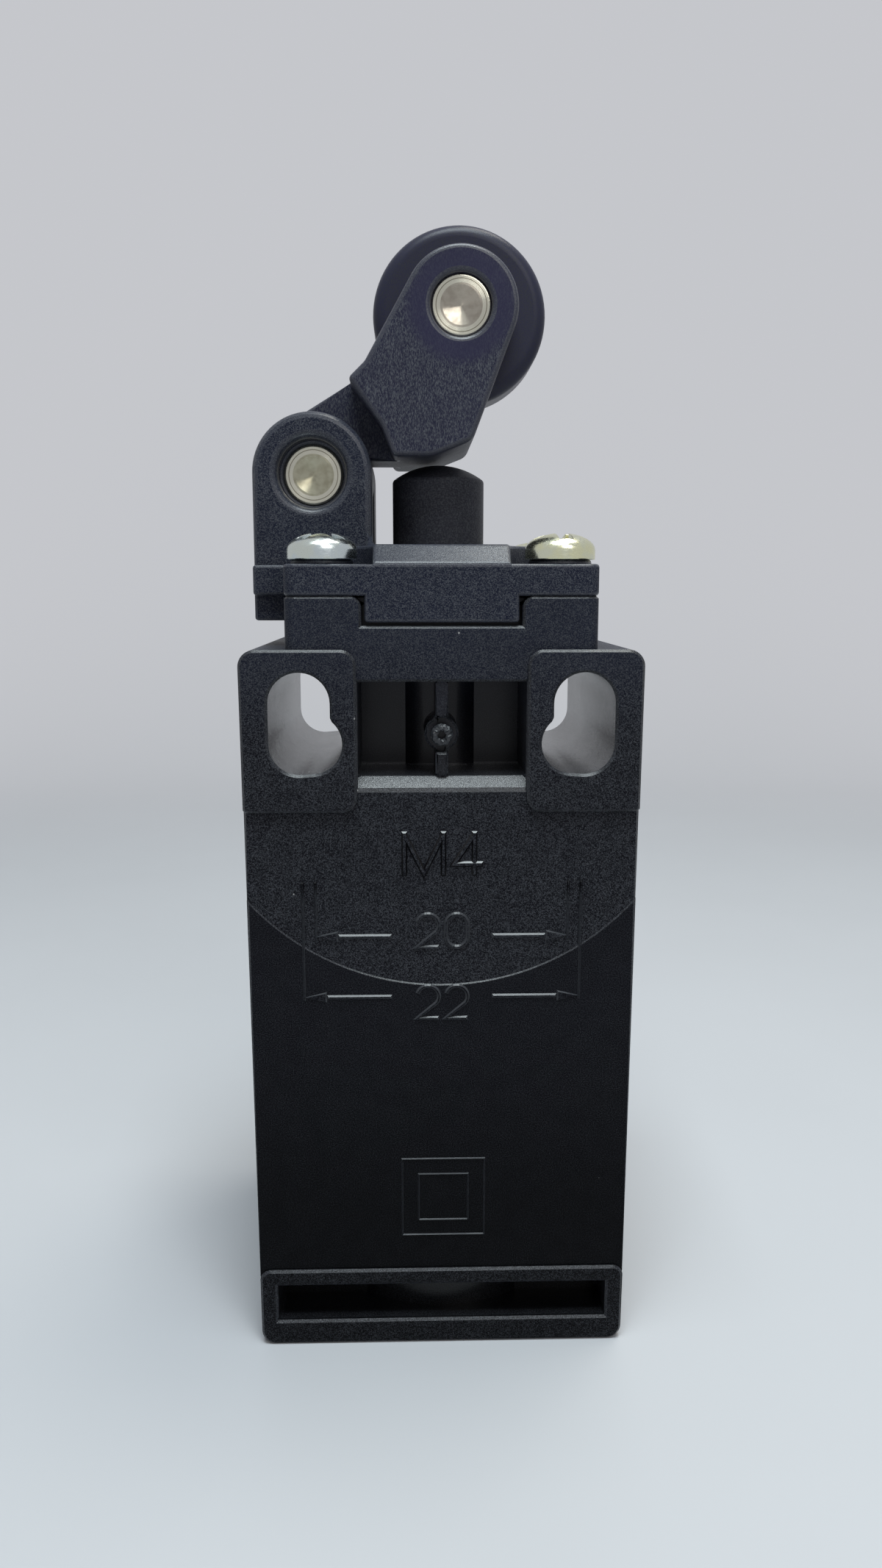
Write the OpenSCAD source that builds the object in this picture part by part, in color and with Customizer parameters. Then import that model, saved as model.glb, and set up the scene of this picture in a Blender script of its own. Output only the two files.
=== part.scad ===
// Roller lever limit switch.
// A compact moulded body with two key-shaped mounting slots carries a head with a sprung
// plunger, and a one-piece roller lever on a clevis presses that plunger.
// The switch stands on its cable entry face: the mounting face looks to -Y and the cover
// to +Y, and the origin is the middle of the base. All sizes are in millimetres.

/* [Body] */
// Width across the ears, at their top
body_w = 31.16; // [30.6:0.02:33]
// Width of the body at its foot
base_w = 30.2; // [29.6:0.1:31.4]
// Height of the ears above the base
body_h = 58.06; // [57:0.01:62]
// Depth of the body, from the mounting face to the cover's seat
body_d = 27.65; // [26.6:0.05:30]
// Thickness of the outer walls
wall = 2; // [1.6:0.1:2.3]
// Radius of the ears' outer top corners
ear_corner_r = 1.3; // [0.5:0.1:2]
// Radius of the body's corners at its foot
foot_corner_r = 1.2; // [0.8:0.1:2.4]
// Width and depth of the square neck that carries the head
neck_w = 24.1; // [23.4:0.1:25]
// Height of the neck above the ears
neck_h = 4.04; // [3.6:0.02:5]
// How far the neck's back lies behind the mounting face
neck_setback = 0.45; // [0.2:0.05:0.8]
// Radius of the neck's upright corners
neck_corner_r = 0.9; // [0.4:0.1:1.6]

/* [Mounting slots] */
// Distance between the two upright slots
slot_pitch = 22; // [21.6:0.1:22.4]
// Distance between the two round holes that open into the slots
hole_pitch = 20; // [19.6:0.1:20.4]
// Width of a slot
slot_w = 4.76; // [4.4:0.02:5]
// Diameter of a round hole
hole_d = 4.6; // [4.3:0.1:4.8]
// Distance between the centres of a slot's two round ends
slot_run = 3.13; // [2.6:0.01:3.6]
// Depth of the lower slot centre below the ears' top
slot_drop = 7.24; // [6.6:0.02:7.8]

/* [Back face] */
// How far the pads stand proud of the back face
pad_proud = 0.45; // [0.2:0.05:0.6]
// Clear distance between the two ear pads
pad_gap = 13.2; // [12.4:0.1:13.8]
// Height of an ear pad
pad_h = 12.6; // [11.8:0.1:13.4]
// Radius of a pad's corners
pad_corner_r = 1.2; // [0.6:0.1:1.8]
// Height of the arc-shaped step in the back face
panel_step = 0.12; // [0.06:0.02:0.2]
// Radius of the arc-shaped step
arc_r = 20.3; // [19:0.1:22]
// Depth of the arc's centre below the ears' top
arc_drop = 6.36; // [5.5:0.02:7.5]
// Width of the pocket between the pads
pocket_w = 13.1; // [12:0.1:13.6]
// Height of the pocket
pocket_h = 8.4; // [7.4:0.1:9]
// Depth of the pocket below the pads
pocket_d = 7.8; // [7:0.1:8.2]
// Depth of the pocket's top edge below the ears' top
pocket_drop = 2.46; // [2.2:0.02:3]
// Size of the bevel along the pocket's lower edge
pocket_bevel = 0.95; // [0.6:0.05:1.3]
// Thickness of the upright rib in the pocket
rib_w = 1; // [0.7:0.1:1.4]
// How far the rib lies behind the mounting face
rib_setback = 1.1; // [0.6:0.1:2]
// Diameter of the round recess in the rib, around the moulding gate
gate_d = 2.7; // [2.2:0.1:3.2]
// Depth of the recess around the moulding gate
gate_recess = 1; // [0.6:0.1:1.4]
// Diameter of the broken stub of the moulding gate
gate_stub_d = 1.75; // [1.4:0.05:2]
// Diameter of the hole in the stub
gate_hole_d = 0.6; // [0.3:0.1:0.8]
// Height of the frame pad at the foot
frame_h = 6.7; // [6.5:0.1:7.6]
// Radius of the frame pad's upper corners
frame_corner_r = 0.9; // [0.5:0.1:1.6]
// Width of the recess in the frame pad
frame_recess_w = 27.4; // [26:0.1:28]
// Height of the recess in the frame pad
frame_recess_h = 3.15; // [2.6:0.05:3.6]
// Height of the recess above the base
frame_recess_z = 2.15; // [1.8:0.05:2.6]
// Depth of the recess in the frame pad
frame_recess_d = 4; // [3.4:0.1:4.2]

/* [Cable entry] */
// Core diameter of the entry's thread
entry_d = 18.38; // [17.6:0.02:18.8]
// Wall around the entry
entry_wall = 1.47; // [1.2:0.01:1.8]
// Length of the entry
entry_len = 8.5; // [8:0.1:9.5]

/* [Cover] */
// Thickness of the cover
cover_t = 2.35; // [2:0.05:3]
// How far the cover's edge lies inside the body's outline
cover_edge = 0.6; // [0.4:0.1:1]
// Distance from the cover's top edge to the slots
cover_slot_gap = 1.1; // [0.8:0.1:1.5]
// Height of the band between the cover's top edge and the chamber
cover_band = 5.6; // [5.4:0.1:6.4]
// Distance of the cover screws from the cover's edges
cover_screw_inset = 2.5; // [2.4:0.1:2.7]
// Diameter of the cover screws
cover_screw_d = 2.1; // [1.9:0.1:2.2]
// Length of the cover screws in the body
cover_screw_len = 8; // [6:0.5:9]
// Width of the cross in a cover screw's head
cover_cross_w = 0.5; // [0.4:0.05:0.6]
// Length of the cross in a cover screw's head
cover_cross_len = 2.7; // [2.2:0.1:3]
// Depth of the cross in a cover screw's head
cover_cross_d = 0.5; // [0.3:0.05:0.7]
// Height of the rib that locates the cover in the body
cover_lip_h = 1.6; // [1:0.1:2.4]
// Thickness of that rib
cover_lip_t = 1; // [0.8:0.1:1.4]
// Width of the cover's gasket
gasket_w = 1; // [0.8:0.1:1.1]
// Thickness of the cover's gasket
gasket_t = 0.8; // [0.6:0.1:1.2]
// Distance of the gasket from the chamber's edge
gasket_inset = 0.4; // [0.3:0.05:0.5]

/* [Head] */
// Thickness of the head's plate
plate_t = 2.4; // [2:0.1:3]
// Height of the plateau between the head screws
plateau_t = 1.5; // [1:0.1:2]
// Distance of the head screws from the head's edges
head_screw_inset = 2.8; // [2.7:0.05:3]
// Radius of the recess around a head screw
head_recess_r = 4; // [3.6:0.1:4.2]
// Height of the raised seat under a head screw
head_seat_h = 0.35; // [0.2:0.05:0.5]
// Diameter of that seat
head_seat_d = 4.9; // [4.4:0.1:5.2]
// Diameter of a head screw's head
head_screw_head_d = 5.45; // [5:0.05:5.6]
// Height of a head screw's head
head_screw_head_h = 2.05; // [1.8:0.05:2.4]
// Height of the straight rim of that head
head_screw_rim = 0.75; // [0.4:0.05:1]
// Width of the cross in that head
head_slot_w = 1.05; // [0.7:0.05:1.2]
// Length of the cross in that head
head_slot_len = 4.2; // [3.6:0.1:4.6]
// Depth of the cross in that head
head_slot_d = 0.95; // [0.6:0.05:1.2]
// Diameter of a head screw
head_screw_d = 2.9; // [2.6:0.1:3]
// Length of a head screw
head_screw_len = 6.8; // [6:0.1:7]
// Width of the tongue that locates the head
tongue_w = 11.8; // [10:0.1:12.4]
// Height of the tongue
tongue_h = 2; // [1.6:0.1:2.2]
// Thickness of the tongue
tongue_t = 2; // [1.4:0.1:2.6]
// Gap around the tongue
tongue_gap = 0.25; // [0.15:0.05:0.4]
// Size of the bevels beside the tongue
tongue_lead = 0.55; // [0.3:0.05:0.8]
// Radius of the clevis ears
ear_r = 4.76; // [4.5:0.02:4.9]
// Thickness of a clevis ear
ear_t = 3; // [2.6:0.1:3.2]
// Distance of the lever's pivot from the plunger's axis
pivot_dx = 10.2; // [10:0.05:10.4]
// Height of the pivot above the plateau
pivot_rise = 5.7; // [5.4:0.1:6.4]
// How far the lug under the ears hangs below the plate
lug_drop = 2; // [1:0.1:2.4]
// How far the lug stands proud of the ears, level with the plate
lug_proud = 0.8; // [0.4:0.1:1.2]
// Gap between the lug and the neck
lug_gap = 0.25; // [0.15:0.05:0.5]
// Diameter of the pivot pin
pivot_pin_d = 4.8; // [4.4:0.1:5]
// How far the pivot pin's ends lie inside the ears
pivot_pin_recess = 1.9; // [1.2:0.1:2.2]
// Radial gap between the pivot pin's ends and the ears
pivot_mouth_gap = 0.3; // [0.1:0.05:0.5]
// Bevel around the holes of the ears
mouth_bevel = 0.4; // [0.2:0.05:0.6]

/* [Lever] */
// Thickness of the lever's hub and web
lever_w = 5.6; // [5.2:0.1:6.2]
// Thickness of a fork cheek
cheek_t = 3.5; // [2.8:0.1:3.6]
// Radius of the hub
hub_r = 4.75; // [4.2:0.05:4.8]
// Slope of the arm's upper edge, in degrees
arm_slope = 31; // [28:1:33]
// Distance of the roller from the pivot, across
roller_dx = 11.87; // [11.6:0.01:12.2]
// Distance of the roller from the pivot, upwards
roller_dz = 12.7; // [12.4:0.05:13]
// Radius of the fork's round end
fork_r = 4.5; // [4.2:0.1:5]
// Height of the lever's foot above the pivot
foot_dz = 1.25; // [1:0.05:1.4]
// Length of the lever's foot
foot_len = 3.15; // [2.8:0.05:3.4]
// Distance of the foot's near end from the pivot
foot_dx = 6.45; // [6.2:0.05:6.7]
// Radius of the foot's near end
foot_r = 0.6; // [0.3:0.1:0.9]
// Length of the rising toe beyond the foot
toe_len = 3.2; // [2.8:0.1:3.5]
// Rise of the toe
toe_rise = 1.25; // [1.1:0.05:1.5]
// Radius of the toe's tip
toe_r = 1.2; // [0.6:0.1:1.4]
// Radius of the bend between the foot and the toe
toe_bend_r = 4; // [2:0.5:5]
// Distance of the fork's heel from the pivot, across
heel_dx = 2.95; // [2.7:0.05:3.2]
// Distance of the fork's heel from the pivot, upwards
heel_dz = 7.2; // [7:0.05:7.4]
// Radius of the heel
heel_r = 0.45; // [0.2:0.05:0.6]
// Distance of the shin between heel and foot from the foot's near end, across
shin_dx = 0.9; // [0.7:0.05:1.1]
// Height of the shin above the foot
shin_dz = 2.35; // [2.1:0.05:2.6]
// Radius of the shin
shin_r = 3; // [2:0.1:3.6]
// Distance of the nape above the heel from the heel, across
nape_dx = 1.35; // [1.1:0.05:1.6]
// Height of the nape above the heel
nape_dz = 1.3; // [1.1:0.05:1.5]
// Radius of the nape
nape_r = 1.6; // [1:0.1:2]

/* [Roller] */
// Diameter of the roller
roller_d = 14; // [13:0.1:15]
// Width of the roller
roller_w = 5.2; // [4.8:0.1:5.4]
// Radius of the roller's edges
roller_edge_r = 1; // [0.4:0.1:1.4]
// Gap between the roller and the lever's web
roller_gap = 0.5; // [0.3:0.1:0.8]
// Diameter of the roller pin
roller_pin_d = 4.75; // [4.2:0.05:5]
// How far the roller pin's ends lie inside the fork
roller_pin_recess = 0.4; // [0.1:0.1:0.8]
// Bevel around the ends of both pins
pin_bevel = 0.15; // [0.1:0.05:0.3]
// Diameter of the turned dimple in the ends of both pins
pin_dimple_d = 3; // [2.4:0.1:3.4]
// Depth of that dimple
pin_dimple = 0.3; // [0.1:0.05:0.5]

/* [Plunger] */
// Diameter of the plunger
plunger_d = 7.7; // [7.2:0.1:8]
// Height of the plunger's dome
dome_h = 1.3; // [1:0.1:1.6]
// Travel of the plunger
travel = 3.5; // [3:0.1:3.7]
// Diameter of the collar that keeps the plunger in
collar_d = 11.2; // [10:0.1:11.4]
// Thickness of the collar
collar_t = 1; // [0.8:0.1:1.3]
// Free depth under the collar at full travel
collar_room = 0.5; // [0.3:0.1:0.8]
// Diameter of the stem that reaches the contact block
stem_d = 4; // [3.4:0.1:4.2]
// Depth of the shelf that carries the return spring, below the neck's top
shelf_depth = 12.1; // [11.6:0.1:12.6]
// Diameter of the return spring's wire
return_wire_d = 0.7; // [0.5:0.05:0.8]
// Turns of the return spring
return_turns = 5; // [4:1:7]
// Gap between the return spring and its bore
spring_bore_gap = 1.1; // [0.7:0.1:1.2]
// Outer diameter of the plunger's seal
seal_d = 11; // [10:0.1:12]
// Thickness of the plunger's seal
seal_t = 1.1; // [0.8:0.1:1.4]
// Wall around the return spring
tube_wall = 1.3; // [1.1:0.1:1.4]
// Width of the head's gasket ring
head_gasket_w = 1.5; // [1:0.1:1.8]
// Thickness of the head's gasket ring
head_gasket_t = 0.8; // [0.6:0.1:1.2]
// Wall between the gasket ring and the collar's bore
head_gasket_inset = 0.5; // [0.4:0.1:0.8]

/* [Contact block] */
// Gap between the contact block and the chamber's side walls
block_gap = 0.8; // [0.6:0.1:1.2]
// Gap between the contact block and the chamber's ceiling
block_head_gap = 1.7; // [1.2:0.1:2.2]
// Height of the wiring space under the contact block
wiring_h = 3.54; // [3:0.02:4.4]
// Depth of the contact block
block_d = 13.4; // [12.8:0.1:14]
// Height of the posts that carry the contact block
post_h = 2.6; // [2:0.1:3]
// Diameter of the posts
post_d = 5.6; // [5:0.1:6]
// Thickness of the block's walls
block_wall = 1.5; // [1.2:0.1:1.8]
// Margin between a terminal and the contact chamber
column_margin = 0.2; // [0.1:0.05:0.6]
// Thickness of the block's cover
block_cover_t = 1; // [0.8:0.1:1.4]
// How far the block's cover lies inside the block's top and bottom
block_cover_inset = 0.4; // [0.2:0.1:0.8]
// Thickness of the contact strips and terminals
strip_t = 0.8; // [0.6:0.1:0.9]
// How far the terminals lie inside the block's sides
terminal_inset = 0.5; // [0.3:0.1:0.8]
// Thickness of the contact bridges
bridge_t = 0.6; // [0.5:0.1:0.8]
// Gap between a bridge's ends and the contact chamber's sides
bridge_gap = 0.6; // [0.4:0.1:0.8]
// Distance of the contact tips from a bridge's ends
tip_inset = 1.1; // [1:0.1:1.4]
// Diameter of the contact tips
tip_d = 1.9; // [1.6:0.1:2]
// Height of the contact tips
tip_h = 0.6; // [0.4:0.1:0.7]
// Margin of a strip around its contact tip
tip_margin = 0.4; // [0.2:0.1:0.5]
// Width of the contact carrier
carrier_w = 4.4; // [4.2:0.1:4.6]
// Depth of the contact carrier
carrier_d = 5; // [4.6:0.1:5.2]
// Room left under the contact carrier at full travel
carrier_room = 2.1; // [1.9:0.1:2.6]
// How far the carrier's round neck stands out of the block
carrier_rise = 0.9; // [0.6:0.1:1.2]
// Length of the carrier's round neck inside the block
carrier_neck = 1; // [0.8:0.1:1.4]
// Height of the carrier's roof over its upper window
carrier_roof = 1.2; // [1:0.1:1.4]
// Height of the carrier's sill under its lower window
carrier_sill = 1.8; // [1.4:0.1:2]
// Height of a window in the contact carrier
window_h = 4.4; // [4:0.1:4.6]
// Diameter of the terminal screws
terminal_screw_d = 3; // [2.6:0.1:3.2]
// Length of the terminal screws
terminal_screw_len = 6; // [5:0.2:7]
// Diameter of the terminal and fixing screws' heads
terminal_head_d = 4.4; // [4:0.1:4.5]
// Height of those heads
terminal_head_h = 1.9; // [1.5:0.1:2.1]
// Height of the straight rim of those heads
terminal_rim = 0.6; // [0.4:0.1:0.8]
// Width of the cross in those heads
terminal_slot_w = 0.7; // [0.5:0.05:0.9]
// Length of the cross in those heads
terminal_slot_len = 3.4; // [2.8:0.1:3.8]
// Depth of the cross in those heads
terminal_slot_d = 0.8; // [0.5:0.1:1]
// Thickness of a clamp plate
clamp_t = 0.8; // [0.6:0.1:1.2]
// Diameter of the block's fixing screws
block_screw_d = 2.4; // [2.2:0.1:2.5]
// Diameter of the small springs' wire
spring_wire_d = 0.35; // [0.25:0.05:0.4]
// Turns of a contact spring
contact_turns = 4; // [3:1:5]
// Turns of the carrier's spring
carrier_turns = 5; // [4:1:5]

/* [Clearances] */
// Radial clearance of a running fit
run_gap = 0.05; // [0.02:0.01:0.08]
// Radial clearance of a fixed fit
fit_gap = 0.01; // [0.005:0.005:0.02]
// Side clearance of the lever and the roller
side_gap = 0.2; // [0.1:0.05:0.3]
// Gap between the lever's foot and the plunger at rest
rest_gap = 0.1; // [0.05:0.05:0.3]
// Gap between inner moving faces at rest
inner_gap = 0.1; // [0.05:0.05:0.2]
// Clearance around pieces that drop into a recess
drop_gap = 0.1; // [0.05:0.05:0.2]
// Radial clearance of a screw in a plain hole
screw_gap = 0.2; // [0.1:0.05:0.3]
// Clearance around pieces that move freely in a bore
free_gap = 0.4; // [0.3:0.1:0.6]
// Free depth under a screw's end
screw_end_gap = 0.3; // [0.1:0.1:0.6]

/* [Hidden] */
$fn = 72;
// Overlap of pieces that are joined, and reach of cuts past a face
eps = 0.01;
past = 1;

// Depth planes
back_y = -(body_d + cover_t) / 2;
front_y = back_y + body_d;
face_y = back_y + pad_proud;
panel_y = face_y - panel_step;
neck_back_y = back_y + neck_setback;
axis_y = neck_back_y + neck_w / 2;

// Heights of the body and the head
neck_top = body_h + neck_h;
plate_top = neck_top + plate_t;
plateau_top = plate_top + plateau_t;
slot_z = body_h - slot_drop;
slot_r = slot_w / 2;
pocket_top = body_h - pocket_drop;
pocket_z = pocket_top - pocket_h;
pocket_y = back_y + pocket_d;
rib_y = back_y + rib_setback;
gate_z = pocket_z + pocket_h / 2;

// Cover and chamber
cover_w = base_w - 2 * cover_edge;
cover_z = cover_edge;
cover_top = slot_z - slot_r - cover_slot_gap;
chamber_w = base_w - 2 * wall;
chamber_z = entry_len;
chamber_top = cover_top - cover_band;
chamber_back_y = face_y + wall - pad_proud;
cover_screw_x = cover_w / 2 - cover_screw_inset;
cover_screw_zs = [cover_z + cover_screw_inset, cover_top - cover_screw_inset];
cover_sink_h = cover_screw_d / 2;

// Head screws, with the angle that each cross was left at
head_screw_reach = neck_w / 2 - head_screw_inset;
head_screw_sides = [[-1, -1], [-1, 1], [1, -1], [1, 1]];
head_screw_turns = [45, 20, 6, 70];

// Lever and pivot
pivot_x = -pivot_dx;
pivot_z = plateau_top + pivot_rise;
roller_x = pivot_x + roller_dx;
roller_z = pivot_z + roller_dz;
foot_z = pivot_z + foot_dz;
clevis_gap = lever_w + 2 * side_gap;
clevis_w = clevis_gap + 2 * ear_t;
fork_w = lever_w + 2 * cheek_t;

// Plunger and its bores
plunger_r = plunger_d / 2;
stem_r = stem_d / 2;
plunger_top = foot_z - rest_gap;
dome_r = (plunger_r * plunger_r + dome_h * dome_h) / (2 * dome_h);
collar_top = neck_top - inner_gap;
collar_z = collar_top - collar_t;
cup_r = collar_d / 2 + free_gap;
cup_z = collar_z - travel - collar_room;
shelf_z = neck_top - shelf_depth;
return_spring_r = stem_r + free_gap + return_wire_d / 2;
spring_bore_r = return_spring_r + return_wire_d / 2 + spring_bore_gap;
tube_r = spring_bore_r + tube_wall;

// Contact block and its carrier
block_w = chamber_w - 2 * block_gap;
block_top = chamber_top - block_head_gap;
block_z = chamber_z + wiring_h;
block_back_y = chamber_back_y + post_h;
block_front_y = block_back_y + block_d;
cavity_back_y = axis_y - carrier_d / 2 - free_gap;
terminal_h = terminal_head_d + strip_t;
terminal_w = terminal_head_d + 2 * drop_gap;
strip_end_x = block_w / 2 - terminal_inset;
terminal_x = strip_end_x - terminal_w / 2;
cavity_w = 2 * (strip_end_x - terminal_w - column_margin);
column_x = (block_w + cavity_w) / 4;
carrier_top = block_top + carrier_rise;
carrier_neck_z = block_top - block_wall - inner_gap - carrier_neck;
carrier_z = block_z + block_wall + carrier_room + travel;
stem_end = carrier_top + inner_gap;

// Contacts: the upper pair opens and the lower pair closes as the carrier goes down
nc_window_z = carrier_neck_z - carrier_roof - window_h;
no_window_z = carrier_z + carrier_sill;
nc_bridge_z = nc_window_z + window_h - 2 * bridge_t - inner_gap;
no_bridge_z = no_window_z;
nc_strip_z = nc_bridge_z + bridge_t + tip_h + inner_gap + tip_h;
no_strip_z = no_bridge_z - tip_h - travel - 2 * inner_gap - tip_h - strip_t;
bridge_len = cavity_w - 2 * bridge_gap;
bridge_d = carrier_d - 2 * block_wall;
tip_dx = bridge_len / 2 - tip_inset;
strip_tip_x = tip_dx - tip_d / 2 - tip_margin;
block_screw_z = (nc_strip_z + no_strip_z + strip_t) / 2;

// Half the body's width at a height
function half_w(z) = (base_w + (body_w - base_w) * z / body_h) / 2;

function unit(v) = v / norm(v);

// Points of the arc of radius r that rounds the corner b of the path a, b, c
function corner_arc(a, b, c, r, steps = 10) =
    let (u = unit(a - b))
    let (v = unit(c - b))
    let (half = acos(u * v) / 2)
    let (centre = b + unit(u + v) * r / sin(half))
    let (from = b + u * r / tan(half) - centre)
    let (to = b + v * r / tan(half) - centre)
    let (start = atan2(from[1], from[0]))
    let (turn = atan2(to[1], to[0]) - start)
    let (sweep = turn > 180 ? turn - 360 : turn < -180 ? turn + 360 : turn)
    [for (i = [0:steps]) centre + r * [cos(start + sweep * i / steps), sin(start + sweep * i / steps)]];

// Point where a line from p touches a circle, on the left or right side as seen from p
function tangent_point(p, centre, r, side) =
    let (d = centre - p)
    let (away = asin(r / norm(d)))
    let (heading = atan2(d[1], d[0]) + side * away)
    p + sqrt(d * d - r * r) * [cos(heading), sin(heading)];

// Closed outline of [x, y, corner radius] points
module rounded_outline(points) {
    n = len(points);
    at = [for (p = points) [p[0], p[1]]];
    polygon([
        for (i = [0:n - 1])
            each points[i][2] > 0
                ? corner_arc(at[(i + n - 1) % n], at[i], at[(i + 1) % n], points[i][2])
                : [at[i]]
    ]);
}

// Rectangle with round corners, its lower left corner at the origin
module rounded_rect(w, h, r) {
    translate([r, 0]) square([w - 2 * r, h]);
    translate([0, r]) square([w, h - 2 * r]);
    for (x = [r, w - r], y = [r, h - r])
        translate([x, y]) circle(r);
}

// Stands an outline drawn in X and Z up, and fills it from one depth to another
module upright(from_y, to_y) {
    translate([0, to_y, 0])
        rotate([90, 0, 0])
            linear_extrude(to_y - from_y)
                children();
}

// Round bar along Y
module bar_y(x, z, r, from_y, to_y) {
    translate([x, to_y, z])
        rotate([90, 0, 0])
            cylinder(h = to_y - from_y, r = r);
}

// Round bar along Z on the plunger's axis
module axis_bar(r, from_z, to_z) {
    translate([0, axis_y, from_z])
        cylinder(h = to_z - from_z, r = r);
}

// Box that is centred in X
module box_x(w, from_y, to_y, from_z, to_z) {
    translate([-w / 2, from_y, from_z])
        cube([w, to_y - from_y, to_z - from_z]);
}

module each_side() {
    children();
    mirror([1, 0, 0]) children();
}

// On the plunger's axis, once as it is and once turned half round
module both_ways() {
    for (turn = [0, 180])
        translate([0, axis_y, 0])
            rotate([0, 0, turn])
                children();
}

// Head of a pan screw on the plane z = 0, with a straight rim under an elliptic dome
module pan_head(d, h, rim_h) {
    steps = 9;
    rotate_extrude()
        polygon([
            [0, 0],
            for (i = [-1:steps])
                let (rise = 90 * max(i, 0) / steps)
                [i < steps ? d / 2 * cos(rise) : 0, i < 0 ? 0 : rim_h + (h - rim_h) * sin(rise)]
        ]);
}

// Cross cut down from the plane z = 0
module cross_recess(slot_w, slot_len, depth) {
    for (turn = [0, 90])
        rotate([0, 0, turn])
            translate([-slot_len / 2, -slot_w / 2, -depth])
                cube([slot_len, slot_w, depth + past]);
}

// Small pan screw of the contact block, its head on the plane z = 0
module small_screw(d, length) {
    difference() {
        pan_head(terminal_head_d, terminal_head_h, terminal_rim);
        translate([0, 0, terminal_head_h])
            cross_recess(terminal_slot_w, terminal_slot_len, terminal_slot_d);
    }
    translate([0, 0, -length]) cylinder(h = length + eps, d = d);
}

// Coil spring around Z, standing on the plane z = 0
module coil_spring(r, wire_d, length, turns) {
    sides = 8;
    steps = turns * 16;
    wire_r = wire_d / 2;
    rise = length - wire_d;
    points = [
        for (i = [0:steps], j = [0:sides - 1])
            let (around = 360 * turns * i / steps)
            let (tilt = 360 * j / sides)
            let (reach = r + wire_r * cos(tilt))
            [reach * cos(around), reach * sin(around), wire_r + rise * i / steps + wire_r * sin(tilt)]
    ];
    skin = [
        for (i = [0:steps - 1], j = [0:sides - 1])
            let (k = (j + 1) % sides)
            [i * sides + j, (i + 1) * sides + j, (i + 1) * sides + k, i * sides + k]
    ];
    start = [for (j = [0:sides - 1]) j];
    end = [for (j = [sides - 1:-1:0]) steps * sides + j];
    polyhedron(points, concat(skin, [start, end]), convexity = 8);
}

// Outline of the body seen from its back
module body_outline() {
    rounded_outline([
        [-half_w(0), 0, foot_corner_r],
        [half_w(0), 0, foot_corner_r],
        [half_w(body_h), body_h, ear_corner_r],
        [-half_w(body_h), body_h, ear_corner_r]
    ]);
}

// Key-shaped opening of the right-hand mounting slot
module slot_outline() {
    translate([slot_pitch / 2, slot_z]) {
        circle(slot_r);
        translate([0, slot_run]) circle(slot_r);
        translate([-slot_r, 0]) square([slot_w, slot_run]);
    }
    translate([hole_pitch / 2, slot_z]) circle(d = hole_d);
    hole_mid = [hole_pitch / 2, slot_z];
    slot_mid = [slot_pitch / 2, slot_z];
    slant = (hole_d / 2 - slot_r) / (slot_mid[0] - hole_mid[0]);
    down = [slant, -sqrt(1 - slant * slant)];
    polygon([hole_mid, hole_mid + hole_d / 2 * down, slot_mid + slot_r * down, slot_mid]);
}

// Outline of the right-hand ear pad
module pad_outline() {
    intersection() {
        body_outline();
        translate([pad_gap / 2, body_h - pad_h])
            rounded_rect((body_w - pad_gap) / 2 + 2 * pad_corner_r, pad_h, pad_corner_r);
    }
}

// Outline of the frame pad at the foot
module frame_outline() {
    intersection() {
        body_outline();
        translate([-half_w(frame_h), -frame_corner_r])
            rounded_rect(2 * half_w(frame_h), frame_h + frame_corner_r, frame_corner_r);
    }
}

// Lower part of the back face, up to the arc-shaped step
module panel_outline() {
    difference() {
        intersection() {
            body_outline();
            translate([-body_w, 0]) square([2 * body_w, body_h - arc_drop]);
        }
        translate([0, body_h - arc_drop]) circle(arc_r);
    }
}

// Square outline of the neck and of the head's plate
module neck_outline() {
    translate([-neck_w / 2, neck_back_y])
        rounded_rect(neck_w, neck_w, neck_corner_r);
}

// Everything that is filled in the housing
module housing_mass() {
    upright(face_y, front_y) body_outline();
    upright(panel_y, face_y + eps) panel_outline();
    upright(back_y, face_y + eps) frame_outline();
    each_side() upright(back_y, face_y + eps) pad_outline();
    translate([0, 0, body_h - eps])
        linear_extrude(neck_h + eps) neck_outline();
}

// Pocket between the pads, around the tube of the return spring
module pocket_space() {
    difference() {
        box_x(pocket_w, back_y - past, pocket_y, pocket_z, pocket_top);
        axis_bar(tube_r, pocket_z - past, pocket_top + past);
        translate([-pocket_w / 2 - past, 0, 0])
            rotate([90, 0, 90])
                linear_extrude(pocket_w + 2 * past)
                    polygon([
                        [face_y, pocket_z - past],
                        [face_y, pocket_z],
                        [face_y + pocket_bevel, pocket_z + pocket_bevel],
                        [pocket_y + past, pocket_z + pocket_bevel],
                        [pocket_y + past, pocket_z - past]
                    ]);
    }
}

// Rib in the pocket, with the broken moulding gate in a round recess
module pocket_rib() {
    gate_y = rib_y + gate_recess;
    difference() {
        box_x(rib_w, rib_y, pocket_y + eps, pocket_z + pocket_bevel - eps, pocket_top + eps);
        bar_y(0, gate_z, gate_d / 2, rib_y - past, gate_y);
    }
    bar_y(0, gate_z, gate_d / 2, gate_y, pocket_y + eps);
    difference() {
        bar_y(0, gate_z, gate_stub_d / 2, rib_y, gate_y + eps);
        bar_y(0, gate_z, gate_hole_d / 2, rib_y - past, rib_y + gate_recess / 2);
    }
}

// Recess in the frame pad, around the wall of the cable entry
module frame_recess() {
    difference() {
        box_x(frame_recess_w, back_y - past, back_y + frame_recess_d,
            frame_recess_z, frame_recess_z + frame_recess_h);
        axis_bar(entry_d / 2 + entry_wall, 0, entry_len);
    }
}

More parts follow.
